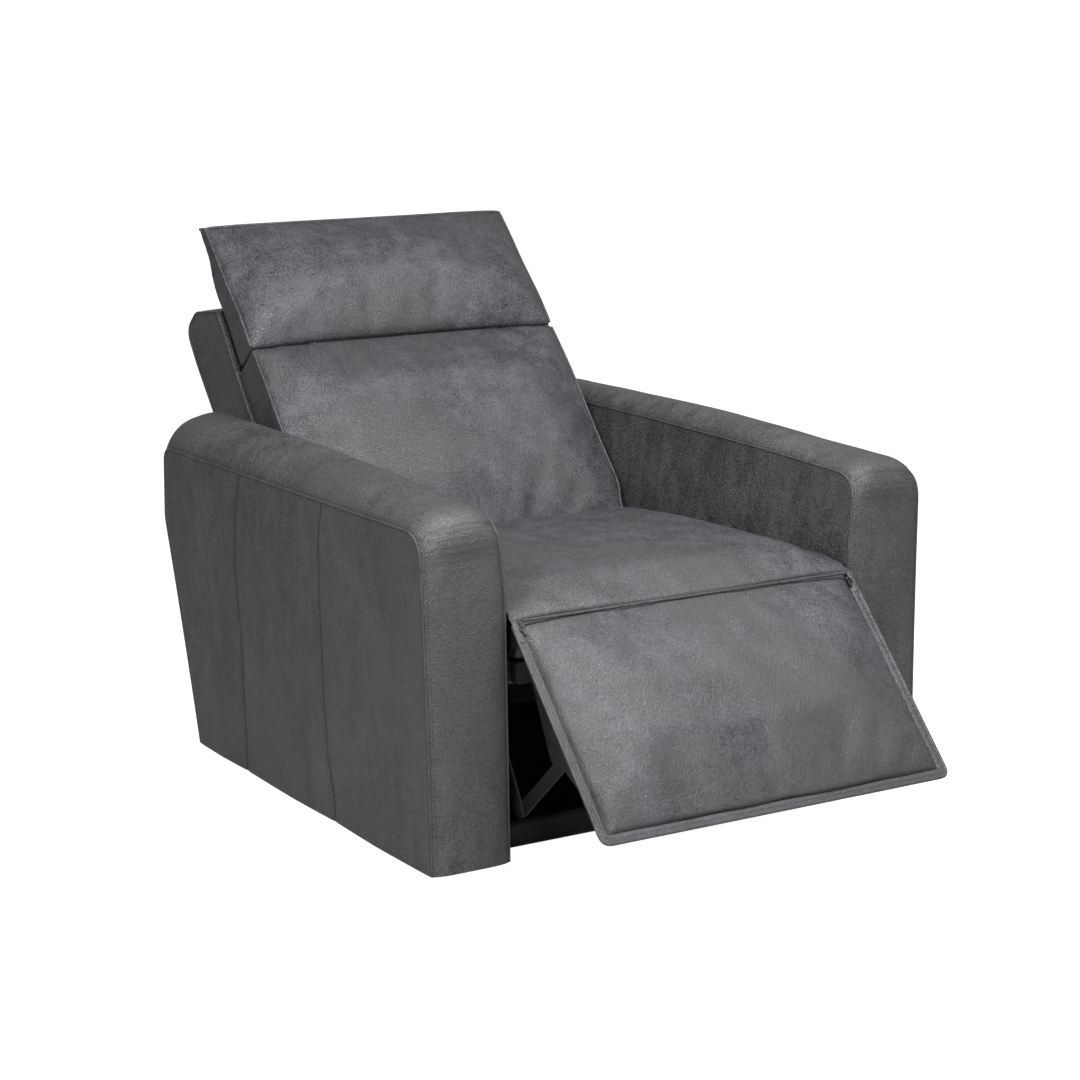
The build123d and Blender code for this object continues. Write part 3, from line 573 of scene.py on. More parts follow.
def boxing_point(i, across, seam_row=0.0):
    """A point on the boxing strip: i along the seam lines, across from -1 outer to 1 inner."""
    out, inn = outer_line[i], inner_line[i]
    run = outer_line[min(i + 1, len(outer_line) - 1)] - outer_line[max(i - 1, 0)]
    way = Vector((1, 0, 0)).cross(run).normalized()
    proud = crown(0.007, 0.026, 0.041, 0.008, out.y - arm_front, way)
    share = (across + 1) / 2
    edge = min(share, 1 - share) * (out - inn).length
    roundness = 3.0 + 1.4 * (1 - max(0.0, way.z))
    lift = proud * (1 - abs(across) ** roundness) + 0.0018 * (1 - math.exp(-edge / 0.004))
    wave = noise.noise(Vector((out.x * 4 + across * 0.5, out.y * 9, out.z * 9)))
    lift += 0.0012 * wave * min(edge / 0.03, 1) - seam_row
    return out.lerp(inn, share) + way * lift


def arm_cover(mirror):
    bm = bmesh.new()
    uprights = [outer_runs[0]]
    for strip, run in zip(STRIP_SEAMS, outer_runs[2:4]):
        seam_line = rounded([(strip[0][0], arm_hem), *strip], [0.05] * (len(strip) - 1))
        seam_line = [placed_outside(p) for p in along(seam_line, 120, 0.75)]
        seam_line[-1] = run[0]
        uprights.append(seam_line)
    uprights.append(list(reversed(along(outer_runs[4], 120, 0.75))))
    for k in range(3):
        near, far = uprights[k], uprights[k + 1]
        hem = along([near[0], far[0]], 56, 0.75)
        panel(bm, near, far, hem, outer_runs[k + 1], outer_puff)
    inner_rear = list(reversed(along(inner_runs[4], 120, 0.75)))
    inner_top = inner_runs[1] + inner_runs[2][1:] + inner_runs[3][1:]
    inner_hem = along([inner_runs[0][0], inner_rear[0]], len(inner_top) - 1, 0.75)
    panel(bm, inner_runs[0], inner_rear, inner_hem, inner_top, inner_puff)
    rows, columns = len(outer_line) - 1, 26
    strip = bmesh.ops.create_grid(bm, x_segments=columns, y_segments=rows, size=1)["verts"]
    seam = bm.verts.layers.float["seam"]
    turn = len(outer_runs[0]) - 1
    for vert in strip:
        across = math.sin(vert.co.x * math.pi / 2) * 0.75 + vert.co.x * 0.25
        i = round((vert.co.y + 1) / 2 * rows)
        from_turn = (outer_line[i] - outer_line[turn]).length
        inset = math.exp(-from_turn / 0.003)
        edge = (1 - abs(across)) * 0.075
        # closeness to the long seams and to the sewn-in turn: the mask for painted shade in those seam gaps
        vert[seam] = max(math.exp(-edge / 0.003), inset * 0.8)
        vert.co = boxing_point(i, across, 0.0016 * inset * min(edge / 0.006, 1))
    bmesh.ops.remove_doubles(bm, verts=bm.verts, dist=0.0004)
    lowest = [e for e in bm.edges if e.is_boundary and all(v.co.z < arm_hem + 0.001 for v in e.verts)]
    hem_middle = Vector(((arm_low.x + arm_high.x) / 2, arm_front + 0.48, arm_hem))
    turned = bmesh.ops.extrude_edge_only(bm, edges=lowest)["geom"]
    for vert in (part for part in turned if isinstance(part, bmesh.types.BMVert)):
        inwards = hem_middle - vert.co
        vert.co.x += math.copysign(hem_turn, inwards.x)
        vert.co.z += 0.0015
        if abs(inwards.y) > 0.44:
            vert.co.y += math.copysign(hem_turn, inwards.y)
    bmesh.ops.recalc_face_normals(bm, faces=bm.faces)
    for face in bm.faces:
        middle = face.calc_center_median()
        deep = middle.y - arm_front
        if middle.x < arm_low.x + 0.004 and middle.z < lining_top and deep > lining_start:
            face.material_index = 1
    if mirror:
        bmesh.ops.scale(bm, vec=(-1, 1, 1), verts=bm.verts)
        bmesh.ops.reverse_faces(bm, faces=bm.faces)
    return bm


def other_side(point, mirror):
    return Vector((-point.x, point.y, point.z)) if mirror else point


def foam_finish():
    """Moulded polyurethane foam: pale, with a fine open cell."""
    finish = Finish("arm_foam")
    where = finish.place()
    cells = finish.cells(where, 620.0)
    age = finish.clouds(where, 6.0, 4.0)
    finish.raised(cells, 0.0006, 0.8)
    tone = finish.blend(age, (0.62, 0.50, 0.30), (0.76, 0.68, 0.48))
    return finish.painted(
        base_color=finish.blend(finish.between(cells, 0.3, 0.8, 0.0, 0.35), tone, (0.45, 0.36, 0.20)),
        roughness=0.9 - cells * 0.1,
    )


arm_foam = foam_finish()
cover_thick = 0.003
panel_gap = 0.003
panel_low, panel_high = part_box("control_panel")
panel_middle = (panel_low + panel_high) / 2
for side_name, mirror in (("right", False), ("left", True)):
    cover = finished("arm_leather_" + side_name, arm_cover(mirror), arm_leather, black_lining_and_painted_shade)
    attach(cover, "base")
    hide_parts("arm_cover_" + side_name)
    lines = [
        [other_side(p, mirror) for p in outer_line],
        [other_side(p, mirror) for p in inner_line],
    ]
    inside = arm_cover(mirror)
    for vert in inside.verts:
        vert.co -= vert.normal * cover_thick
        if mirror and vert.co.x > -arm_low.x - 0.012:
            if abs(vert.co.y - panel_middle.y) < 0.070 and abs(vert.co.z - panel_middle.z) < 0.026:
                vert.co.x = panel_low.x - panel_gap
    foam = finished("arm_foam_core_" + side_name, inside, arm_foam)
    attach(foam, "base")
    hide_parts("arm_foam_" + side_name)
    cord = welt("arm_welt_" + side_name, lines, 0.0019, arm_leather)
    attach(cord, "base")
    turn = len(outer_runs[0]) - 1
    rows = []
    for across in (-0.90, 0.90):
        row = [other_side(boxing_point(i, across), mirror) for i in range(2, turn + 1)]
        rows.append((row, Vector((0, -1, 0))))
    roll = [other_side(boxing_point(turn - 5, step / 20), mirror) for step in range(-17, 18)]
    rows.append((roll, Vector((0, -0.7, 0.7))))
    sewn = stitching("arm_stitches_" + side_name, rows, dark_thread)
    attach(sewn, "base")

# ---- Seat ----
# A chaise seat: foam and wadding under one crowned leather panel that rolls over the front
# edge into a stitched seam, with short side walls that run down between the arms.


def joint(name):
    return next(made for made in frame["joints"] if made["name"] == name)


def block(shape, cuts=40):
    """A closed body: a finely cut cube whose points, each from -1 to 1, go where shape says."""
    bm = bmesh.new()
    bmesh.ops.create_cube(bm, size=2)
    bmesh.ops.subdivide_edges(bm, edges=bm.edges, cuts=cuts, use_grid_fill=True)
    for vert in bm.verts:
        vert.co = shape(*vert.co)
    bmesh.ops.recalc_face_normals(bm, faces=bm.faces)
    return bm


def curve_through(points):
    """A smooth height over a run of (place, height) points."""

    def height(place):
        if place <= points[0][0]:
            return points[0][1]
        for k, (first, second) in enumerate(zip(points, points[1:])):
            if place <= second[0]:
                before = points[max(k - 1, 0)]
                after = points[min(k + 2, len(points) - 1)]
                width = second[0] - first[0]
                share = (place - first[0]) / width
                slope_in = (second[1] - before[1]) / (second[0] - before[0]) * width
                slope_out = (after[1] - first[1]) / (after[0] - first[0]) * width
                cube, square = share**3, share**2
                return (
                    (2 * cube - 3 * square + 1) * first[1]
                    + (cube - 2 * square + share) * slope_in
                    + (3 * square - 2 * cube) * second[1]
                    + (cube - square) * slope_out
                )
        return points[-1][1]

    return height


def applied(piece):
    """The piece's mesh with its modifiers worked in."""
    shaped = piece.evaluated_get(bpy.context.evaluated_depsgraph_get())
    mesh = bpy.data.meshes.new_from_object(shaped)
    piece.modifiers.clear()
    return mesh


def remeshed(name, bm, grain, finish):
    """An even closed skin over a body, and its object."""
    piece = finished(name, bm, finish)
    even = piece.modifiers.new("even", "REMESH")
    even.mode = "VOXEL"
    even.voxel_size = grain
    piece.data = applied(piece)
    return piece


SMOOTHING_PASSES = 14


def sewn_and_filled(piece, held, most, pressure=4.0, slack=-0.02):
    """The skin pumped up against its seams: held(point) is 1 where it is sewn down, 0 where free."""
    rest = [vert.co.copy() for vert in piece.data.vertices]
    group = piece.vertex_groups.new(name="sewn")
    for index, point in enumerate(rest):
        group.add([index], held(point), "REPLACE")
    cloth = piece.modifiers.new("cloth", "CLOTH")
    cloth.settings.quality = 3
    cloth.settings.mass = 0.35
    cloth.settings.tension_stiffness = 18
    cloth.settings.compression_stiffness = 12
    cloth.settings.shear_stiffness = 6
    cloth.settings.bending_stiffness = 4
    cloth.settings.use_pressure = True
    cloth.settings.uniform_pressure_force = pressure
    cloth.settings.shrink_min = slack
    cloth.settings.vertex_group_mass = "sewn"
    cloth.settings.effector_weights.gravity = 0
    cloth.collision_settings.use_collision = False
    for step in range(1, 21):
        bpy.context.scene.frame_set(step)
    mesh = applied(piece)
    bpy.context.scene.frame_set(1)
    for vert, point in zip(mesh.vertices, rest):
        move = vert.co - point
        if move.length > most:
            vert.co = point + move * (most / move.length)
    piece.data = mesh
    bm = bmesh.new()
    bm.from_mesh(piece.data)
    free = [vert for vert, point in zip(bm.verts, rest) if held(point) < 0.6]
    for _ in range(SMOOTHING_PASSES):
        bmesh.ops.smooth_vert(
            bm, verts=free, factor=0.5, use_axis_x=True, use_axis_y=True, use_axis_z=True
        )
    bm.to_mesh(piece.data)
    bm.free()
    finer = piece.modifiers.new("finer", "SUBSURF")
    finer.levels = finer.render_levels = 1
    piece.data = applied(piece)
    piece.vertex_groups.clear()
    for polygon in piece.data.polygons:
        polygon.use_smooth = True
    return piece


def drawn_in(piece, lines, depth, width, pull=0.0, spacing=0.03, reach=0.05):
    """The skin drawn in along its seam lines, with soft pulls running away from them."""
    mesh = piece.data
    step = 0.002
    dense = []
    for line in lines:
        length = sum((second - first).length for first, second in zip(line, line[1:]))
        dense += along(line, max(2, round(length / step)))
    tree = KDTree(len(dense))
    for number, place in enumerate(dense):
        tree.insert(place, number)
    tree.balance()
    seam = mesh.attributes.get("seam") or mesh.attributes.new("seam", "FLOAT", "POINT")
    normals = [vert.normal.copy() for vert in mesh.vertices]
    for index, vert in enumerate(mesh.vertices):
        place, number, distance = tree.find(vert.co)
        if distance > reach * 3.5:
            continue
        valley = depth * math.exp(-((distance / width) ** 2))
        wave = noise.noise(Vector((number * step / spacing, distance / (reach * 2.2), place.x * 0.7)))
        tug = pull * wave * math.exp(-distance / reach) * (1 - math.exp(-distance / 0.006))
        vert.co += normals[index] * (tug - valley)
        # closeness to the seam line: the mask for the painted shade the leather shaders put in the drawn-in valley
        seam.data[index].value = max(seam.data[index].value, math.exp(-distance / 0.0028))
    return piece


def hugging(piece, line, proud):
    """A line laid on the skin, standing a little proud of it, with its small jumps evened out."""
    laid = []
    for point in line:
        _, place, normal, _ = piece.closest_point_on_mesh(point)
        laid.append(place + normal * proud)
    for _ in range(3):
        middle = [(a + b * 2 + c) / 4 for a, b, c in zip(laid, laid[1:], laid[2:])]
        laid = [laid[0], *middle, laid[-1]]
    return laid


def rippled(piece, height, stretch, turn=0.0, seed=0.0, where=None):
    """Slow, shallow waves in the leather, drawn out along one direction."""
    normals = [vert.normal.copy() for vert in piece.data.vertices]
    turned = Matrix.Rotation(turn, 3, "Y")
    for index, vert in enumerate(piece.data.vertices):
        place = turned @ vert.co
        wave = noise.noise(Vector((place.x / stretch[0], place.y / stretch[1], place.z / stretch[2] + seed)))
        share = where(vert.co) if where else 1.0
        vert.co += normals[index] * height * wave * share
    return piece


seat_leather = leather(
    "seat_leather", (0.016, 0.016, 0.019), (0.100, 0.098, 0.111), (0.054, 0.051, 0.054), (1, 0.7, 1)
)

seat_low, seat_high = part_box("seat_cushion")
pad_hinge = Vector(joint("footrest_lift")["pos_m"])
seat_front = seat_low.y
seat_half = seat_high.x + 0.001
ear_top = 0.416
core_half = 0.326
seat_rear = seat_high.y + 0.010
front_seam_height = 0.421
seat_top = curve_through(
    [
        (-0.014, 0.431), (0.010, 0.4435), (0.050, 0.4480), (0.140, 0.4500), (0.300, 0.4510),
        (0.420, 0.4480), (0.560, 0.4380), (0.650, 0.4280), (0.680, 0.4220),
    ]
)


def seat_shape(across, back, high):
    share = (high + 1) / 2
    depth = seat_front + (back + 1) / 2 * (seat_rear - seat_front)
    top = seat_top(depth - arm_front) - 0.010 * abs(across) ** 6
    height = seat_low.z + share * (top - seat_low.z)
    if height < 0.402 and back < -0.9:
        depth = max(depth, arm_front + 0.008)
    half = seat_half if height > ear_top else core_half
    return Vector((half * across, depth, height))


def seat_held(point):
    """Sewn down at the front seam, the side walls and the underside."""
    side = max(0.0, 1 - (seat_half - abs(point.x)) / 0.012)
    under = 1.0 if point.z < ear_top + 0.004 else 0.0
    seam = max(0.0, 1 - abs(point.z - front_seam_height) / 0.008) if point.y < seat_front + 0.006 else 0.0
    return min(1.0, max(side, under, seam))


seat = remeshed("seat_leather", block(seat_shape), 0.006, seat_leather)
seat = sewn_and_filled(seat, seat_held, 0.022)
front_seam_half = 0.339
front_seam = [
    Vector((across, seat_front - 0.001, front_seam_height))
    for across in (-front_seam_half, front_seam_half)
]
drawn_in(seat, [front_seam], 0.0035, 0.006, 0.0014, 0.014, 0.022)
rippled(seat, 0.0014, (0.11, 0.24, 0.2), 0.0, 3.0)
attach(seat, "seat")
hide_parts("seat_cushion")

# ---- Footrest pad ----
# Foam and leather over a board. The cover has a sewn flange round three sides, and its top
# edge is sewn to the seat, so the leather folds there as the pad swings.
pad_lean = -math.radians(joint("footrest_lift")["range_deg"][0])
pad_up = Vector((0, math.sin(pad_lean), math.cos(pad_lean)))
pad_behind = Vector((0, math.cos(pad_lean), -math.sin(pad_lean)))
fold_start = Vector((0, seat_front, front_seam_height))


def on_pad(across, behind, up):
    return Vector((across, 0, 0)) + pad_hinge + behind * pad_behind + up * pad_up


pad_top_up = 0.0165
pad_bottom_up = -0.392
flange = 0.014
pad_half = 0.345
pad_face = curve_through(
    [
        (-0.380, -0.008), (-0.368, -0.019), (-0.345, -0.029), (-0.300, -0.034),
        (-0.200, -0.036), (-0.100, -0.033), (-0.040, -0.026), (0.000, -0.017),
        (0.0165, -0.0125),
    ]
)


def pad_shape(across, out, high):
    up = pad_bottom_up + flange - 0.001 + (high + 1) / 2 * (pad_top_up - pad_bottom_up - flange)
    face = pad_face(up)
    share = (1 - out) / 2
    rim = (1 - abs(across) ** 5) ** 0.6
    front = -0.007 + (face + 0.007) * rim
    half = pad_half - flange + 0.001
    return on_pad(half * across, -0.0012 + share * (front + 0.0012), up)


def pad_held(point):
    """Sewn down along the flange and the top seam, and glued to the board behind."""
    local = point - pad_hinge
    up, behind = local.dot(pad_up), local.dot(pad_behind)
    side = 1 - (pad_half - flange - abs(point.x)) / 0.008
    low = 1 - (up - pad_bottom_up - flange) / 0.008
    top = 1 - (pad_top_up - up) / 0.012
    rear = 1.0 if behind > -0.005 else 0.0
    return min(1.0, max(side, low, top, rear, 0.0))


pad = remeshed("footrest_leather", block(pad_shape), 0.006, seat_leather)
pad = sewn_and_filled(pad, pad_held, 0.022)
flange_corner = 0.012


def around_pad(inset, out, behind=-0.004, drop=0.004):
    """Down one side of the pad, along its foot and up the other, set in from its edge."""
    half, low, high = pad_half - inset, pad_bottom_up + inset, pad_top_up - drop
    return [on_pad(x, behind - out, up) for x, up in ((-half, high), (-half, low), (half, low), (half, high))]


flange_middle = around_pad(flange / 2, 0)
flange_line = rounded(flange_middle, [flange_corner] * 2, 12)
pad_seam = rounded(around_pad(flange + 0.002, 0, -0.008, 0), [0.008] * 2)
drawn_in(pad, [pad_seam], 0.002, 0.005, 0.0016, 0.034, 0.030)
rippled(pad, 0.0034, (0.075, 0.40, 0.34), math.radians(34), 1.3)


def folded(piece):
    """Bends with the leather where the pad's top edge is sewn to the seat."""
    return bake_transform(piece, "seat", "footrest", start=tuple(fold_start), end=tuple(on_pad(0, -0.012, -0.045)))


folded(pad)
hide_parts("footrest_cushion")


def strap(name, line, out, width, thick, finish, around=14):
    """A flat band with soft edges, laid along line and facing out."""
    bm = bmesh.new()
    last = len(line) - 1
    for vert in bmesh.ops.create_grid(bm, x_segments=last, y_segments=around, size=1)["verts"]:
        i = round((vert.co.x + 1) / 2 * last)
        angle = vert.co.y * math.pi
        way = (line[min(i + 1, last)] - line[max(i - 1, 0)]).normalized()
        side = way.cross(out).normalized()
        wide = math.copysign(abs(math.cos(angle)) ** 0.6, math.cos(angle))
        deep = math.copysign(abs(math.sin(angle)) ** 0.6, math.sin(angle))
        vert.co = line[i] + side * wide * width / 2 + out * deep * thick / 2
    bmesh.ops.remove_doubles(bm, verts=bm.verts, dist=0.00002)
    bmesh.ops.holes_fill(bm, edges=[e for e in bm.edges if e.is_boundary])
    bmesh.ops.recalc_face_normals(bm, faces=bm.faces)
    return finished(name, bm, finish)


pad_out = -pad_behind
band = strap("footrest_flange", along(flange_line, 260), pad_out, flange + 0.004, 0.0058, seat_leather)
folded(band)
edge_line = along(rounded(around_pad(0, 0), [flange_corner + 0.006] * 2, 12), 300)
edge_cord = welt("footrest_edge", [[p + pad_out * 0.001 for p in edge_line]], 0.0032, seat_leather)
folded(edge_cord)
flange_stitch_line = along(
    rounded([p + pad_out * 0.0031 for p in flange_middle], [flange_corner] * 2, 12), 400
)
pad_stitches = stitching("footrest_stitches", [(flange_stitch_line, pad_out)], dark_thread)
folded(pad_stitches)

for way, side_name in ((-1, "left"), (1, "right")):
    gusset_line = rounded(
        [
            Vector((way * 0.338, seat_front + 0.016, front_seam_height + 0.004)),
            Vector((way * 0.341, seat_front - 0.002, front_seam_height - 0.006)),
            on_pad(way * (pad_half - 0.006), -0.006, -0.020),
        ],
        [0.008],
    )
    gusset_run = along(gusset_line, 40)
    gusset = strap("footrest_gusset_" + side_name, gusset_run, pad_out, 0.012, 0.004, seat_leather)
    folded(gusset)

seat_stitch_line = [
    Vector((across / 100 * front_seam_half, seat_front - 0.0105, front_seam_height + 0.0085))
    for across in range(-97, 98)
]
front_welt_line = [
    Vector((point.x, seat_front - 0.006, front_seam_height + 0.001)) for point in seat_stitch_line
]
front_welt = welt("seat_front_seam", [front_welt_line], 0.0026, seat_leather)
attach(front_welt, "seat")
seat_stitches = stitching("seat_stitches", [(seat_stitch_line, Vector((0, -0.8, 0.6)))], dark_thread)
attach(seat_stitches, "seat")

# ---- Back cushion ----
# The lower back cushion: a crowned front panel, piped down both sides to plain boxing, with
# its top tucked under the headrest.
back_leather = leather(
    "back_leather", (0.014, 0.014, 0.017), (0.094, 0.093, 0.107), (0.050, 0.048, 0.052), (1, 1, 0.8)
)
back_up = Vector(joint("headrest_drive")["axis"]).normalized()
back_behind = Vector((0, back_up.z, -back_up.y))
back_corner = Vector(joint("headrest_tilt")["pos_m"]) - 0.020 * back_behind - 0.440 * back_up


def on_back(across, behind, up):
    return Vector((across, 0, 0)) + back_corner + behind * back_behind + up * back_up


pipe_half = 0.343
boxing_half = 0.338
crease_up = 0.438
crease_half = 0.335
back_foot = -0.040
back_rear = 0.102
pipe_place = curve_through(
    [
        (-0.040, 0.004), (0.0, 0.003), (0.15, 0.005), (0.33, 0.004), (0.438, 0.011),
        (0.515, 0.012), (0.605, 0.021), (0.745, 0.029),
    ]
)
back_face = curve_through(
    [
        (-0.040, 0.004), (-0.020, -0.006), (0.040, -0.018), (0.110, -0.025), (0.200, -0.028),
        (0.300, -0.026), (0.380, -0.020), (0.418, -0.012), (0.436, 0.006),
    ]
)


def back_shape(across, out, high):
    up = back_foot + (high + 1) / 2 * (crease_up - 0.002 - back_foot)
    edge = pipe_place(up)
    rim = (1 - abs(across) ** 4.5) ** 0.62
    front = edge + (back_face(up) - edge) * rim
    share = (1 - out) / 2
    drop = min(max((0.050 - up) / 0.060, 0.0), 1.0)
    half = boxing_half - 0.011 * drop * drop * (3 - 2 * drop)
    return on_back(half * across, back_rear + share * (front - back_rear), up)


def back_held(point):
    local = point - back_corner
    up, behind = local.dot(back_up), local.dot(back_behind)
    rear = 1.0 if behind > 0.022 else 0.0
    side = 1 - (boxing_half - abs(point.x)) / 0.007
    top = 1 - (crease_up - up) / 0.008
    low = 1 - (up - back_foot) / 0.010
    return min(1.0, max(rear, side, top, low, 0.0))


back = remeshed("back_leather", block(back_shape), 0.006, back_leather)
back = sewn_and_filled(back, back_held, 0.024)


def pipe_line(way, heights):
    """Where the piping lies on one side of the back or the headrest."""
    return [on_back(way * (pipe_half - 0.003), pipe_place(up) + 0.001, up) for up in heights]


def across_back(half, behind, up):
    """A straight line across the back."""
    return [on_back(step / 50 * half, behind, up) for step in range(-50, 51)]


def topstitched(piece, lines):
    """A row of stitches a short way in from each line of piping, lying on the skin."""
    rows = []
    for line in lines:
        inner = [p - Vector((math.copysign(0.0085, p.x), 0, 0)) - back_behind * 0.004 for p in line]
        rows.append((hugging(piece, inner, 0.0004), -back_behind))
    return rows


side_pipes = [pipe_line(way, [up / 100 * crease_up for up in range(-7, 99)]) for way in (-1, 1)]
crease_line = across_back(crease_half, 0.008, crease_up)
drawn_in(back, side_pipes, 0.002, 0.005, 0.0012, 0.060, 0.040)
drawn_in(back, [crease_line], 0.0, 0.004, 0.0010, 0.060, 0.030)
rippled(back, 0.0022, (0.26, 0.16, 0.16), 0.0, 5.0)


def presses(piece):
    """Gives the piece its own copy of its mesh."""
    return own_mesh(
        piece, "headrest_tilt", axis=tuple(back_up), anchor=tuple(on_back(0, 0, back_foot)), keep=0.93
    )


side_pipes = [hugging(back, line, 0.0012) for line in side_pipes]
back_rows = topstitched(back, side_pipes)
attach(back, "back")
presses(back)
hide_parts("back_cushion")
back_stitches = stitching("back_stitches", back_rows, dark_thread)
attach(back_stitches, "back")
presses(back_stitches)

pipes = welt("back_piping", side_pipes, 0.0029, back_leather)
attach(pipes, "back")
presses(pipes)

# ---- Headrest ----
# A separate cushion on a hinge: it bulges over the crease and thins towards the top, where a
# narrow border with mitred corners joins the front and rear panels.
head_face = curve_through(
    [
        (0.440, 0.012), (0.446, -0.008), (0.462, -0.026), (0.500, -0.036), (0.550, -0.034),
        (0.610, -0.022), (0.670, -0.006), (0.715, 0.010), (0.742, 0.028),
    ]
)
head_rear = curve_through(
    [(0.440, 0.082), (0.577, 0.078), (0.610, 0.080), (0.650, 0.0745), (0.683, 0.062), (0.760, 0.056)]
)
head_half = 0.339
head_low = 0.4395
head_top = 0.742
head_rear_top = 0.757


def head_shape(across, out, high):
    share = (1 - out) / 2
    top = head_rear_top + share * (head_top - head_rear_top)
    up = head_low + (high + 1) / 2 * (top - head_low)
    edge = pipe_place(up)
    pinch = min(1.0, (up - head_low) / 0.07)
    rim = (1 - abs(across) ** (2.6 + 2.0 * pinch)) ** 0.66
    front = edge + (head_face(up) - edge) * rim
    return on_back(head_half * across, head_rear(up) + share * (front - head_rear(up)), up)


def head_held(point):
    local = point - back_corner
    up, behind = local.dot(back_up), local.dot(back_behind)
    rear = 1.0 if behind > 0.045 else 0.0
    side = 1 - (head_half - abs(point.x)) / 0.007
    low = 1 - (up - head_low) / 0.007
    top = 1 - (head_top - up) / 0.010
    return min(1.0, max(rear, side, top, low, 0.0))


head = remeshed("headrest_leather", block(head_shape), 0.006, back_leather)
head = sewn_and_filled(head, head_held, 0.022)
head_pipes = [pipe_line(way, [head_low + 0.003 + k * 0.003 for k in range(101)]) for way in (-1, 1)]
head_front_edge = across_back(pipe_half - 0.003, 0.030, head_top)
head_rear_edge = across_back(pipe_half - 0.006, 0.057, head_rear_top)
head_crease = across_back(crease_half, 0.010, head_low)
drawn_in(head, [*head_pipes, head_front_edge], 0.002, 0.005, 0.0010, 0.060, 0.035)
drawn_in(head, [head_crease], 0.0, 0.004, 0.0014, 0.050, 0.030)
rippled(head, 0.0018, (0.22, 0.13, 0.13), 0.0, 9.0)
head_lines = [hugging(head, line, 0.0012) for line in (*head_pipes, head_front_edge, head_rear_edge)]
head_rows = topstitched(head, head_lines[:2])
below_top = [point - back_up * 0.0085 for point in head_lines[2]]
head_rows.append((hugging(head, below_top, 0.0004), -back_behind))
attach(head, "headrest")
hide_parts("headrest_cushion")
head_stitches = stitching("headrest_stitches", head_rows, dark_thread)
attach(head_stitches, "headrest")
head_piping = welt("headrest_piping", head_lines, 0.0029, back_leather)
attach(head_piping, "headrest")

# ---- Back shell ----
# The leather that wraps the rear of the back: two side panels whose front edges are turned and
# topstitched, and one long panel over the top and down the rear, with a welt in each seam.
shell_leather = leather(
    "shell_leather", (0.016, 0.014, 0.016), (0.106, 0.099, 0.104), (0.062, 0.054, 0.052), (1, 1, 0.6)
)
shell_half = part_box("back_shell")[1].x - 0.001
shell_front = [(0.106, -0.006), (0.104, 0.31), (0.101, 0.43), (0.092, 0.528), (0.0915, 0.580)]
shell_rear_line = rounded(
    [(0.250, -0.070), (0.252, 0.560), (0.246, 0.643), (0.180, 0.641), (0.0915, 0.580)], [0.3, 0.034, 0.04], 12
)
shell_turn = Vector((0.246, 0.643))


def on_shell(point, across):
    return on_back(across, point[0], point[1])


def shell_puff(point, to_seam):
    roll = 1 - math.exp(-to_seam / 0.0045)
    wave = noise.noise(Vector((point.y * 6, point.z * 4, 4.4)))
    return point + Vector((0.0010 * roll + min(to_seam / 0.08, 1) * (0.0003 + 0.0004 * wave), 0, 0))


def shell_side(bm):
    line = along([Vector(p) for p in shell_rear_line], 800)
    turn = min(range(len(line)), key=lambda i: (line[i] - shell_turn).length)
    rear = [on_shell(p, shell_half) for p in along(line[: turn + 1], 90, 0.75)]
    top = [on_shell(p, shell_half) for p in along(list(reversed(line[turn:])), 50, 0.75)]
    front = [on_shell(p, shell_half) for p in along([Vector(p) for p in shell_front], 90, 0.75)]
    hem = along([front[0], rear[0]], 50, 0.75)
    front[-1] = top[0]
    panel(bm, front, rear, hem, top, shell_puff)
    return rear + list(reversed(top))[1:], front


bm = bmesh.new()
shell_line, shell_edge = shell_side(bm)
mirrored = bmesh.ops.duplicate(bm, geom=bm.verts[:] + bm.edges[:] + bm.faces[:])["geom"]
bmesh.ops.scale(bm, vec=(-1, 1, 1), verts=[part for part in mirrored if isinstance(part, bmesh.types.BMVert)])
rows = len(shell_line) - 1
wrap = bmesh.ops.create_grid(bm, x_segments=60, y_segments=rows, size=1)["verts"]
seam = bm.verts.layers.float["seam"]
for vert in wrap:
    across = 0.25 * vert.co.x + 0.75 * math.sin(vert.co.x * math.pi / 2)
    i = round((vert.co.y + 1) / 2 * rows)
    here = shell_line[i]
    ahead, behind = shell_line[min(i + 1, rows)], shell_line[max(i - 1, 0)]
    way = Vector((1, 0, 0)).cross(ahead - behind).normalized() * -1
    edge = (1 - abs(across)) * shell_half
    # closeness to the seams: the mask for the painted shade the leather shader puts along them
    vert[seam] = math.exp(-edge / 0.003)
    wave = noise.noise(Vector((across * 2.2, here.y * 5, here.z * 5 + 2)))
    lift = 0.0022 * (1 - math.exp(-edge / 0.0045)) + min(edge / 0.12, 1) * (0.006 + 0.003 * wave)
    vert.co = Vector((across * shell_half, here.y, here.z)) + way * lift
bmesh.ops.remove_doubles(bm, verts=bm.verts, dist=0.0004)
open_edges = [e for e in bm.edges if e.is_boundary]
turned = bmesh.ops.extrude_edge_only(bm, edges=open_edges)["geom"]
for vert in (part for part in turned if isinstance(part, bmesh.types.BMVert)):
    if abs(vert.co.x) > 0.33:
        vert.co.x -= math.copysign(0.012, vert.co.x)
    vert.co += back_behind * 0.001
bmesh.ops.recalc_face_normals(bm, faces=bm.faces)
shell = finished("back_shell_leather", bm, shell_leather)
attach(shell, "back")
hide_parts("back_shell")
shell_lines = [[other_side(p, flip) for p in shell_line] for flip in (False, True)]
shell_welt = welt("back_shell_welt", shell_lines, 0.0021, shell_leather)
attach(shell_welt, "back")
edge_lines = [[other_side(p, flip) for p in shell_edge] for flip in (False, True)]
shell_rim = welt("back_shell_edge", edge_lines, 0.0026, shell_leather)
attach(shell_rim, "back")
rows = []
off_edge = back_behind * 0.009 + Vector((0.0033, 0, 0))
for flip in (False, True):
    line = [other_side(p + off_edge, flip) for p in shell_edge[1:-1]]
    rows.append((line, Vector((-1 if flip else 1, 0, 0))))
shell_stitches = stitching("back_shell_stitches", rows, dark_thread)
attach(shell_stitches, "back")
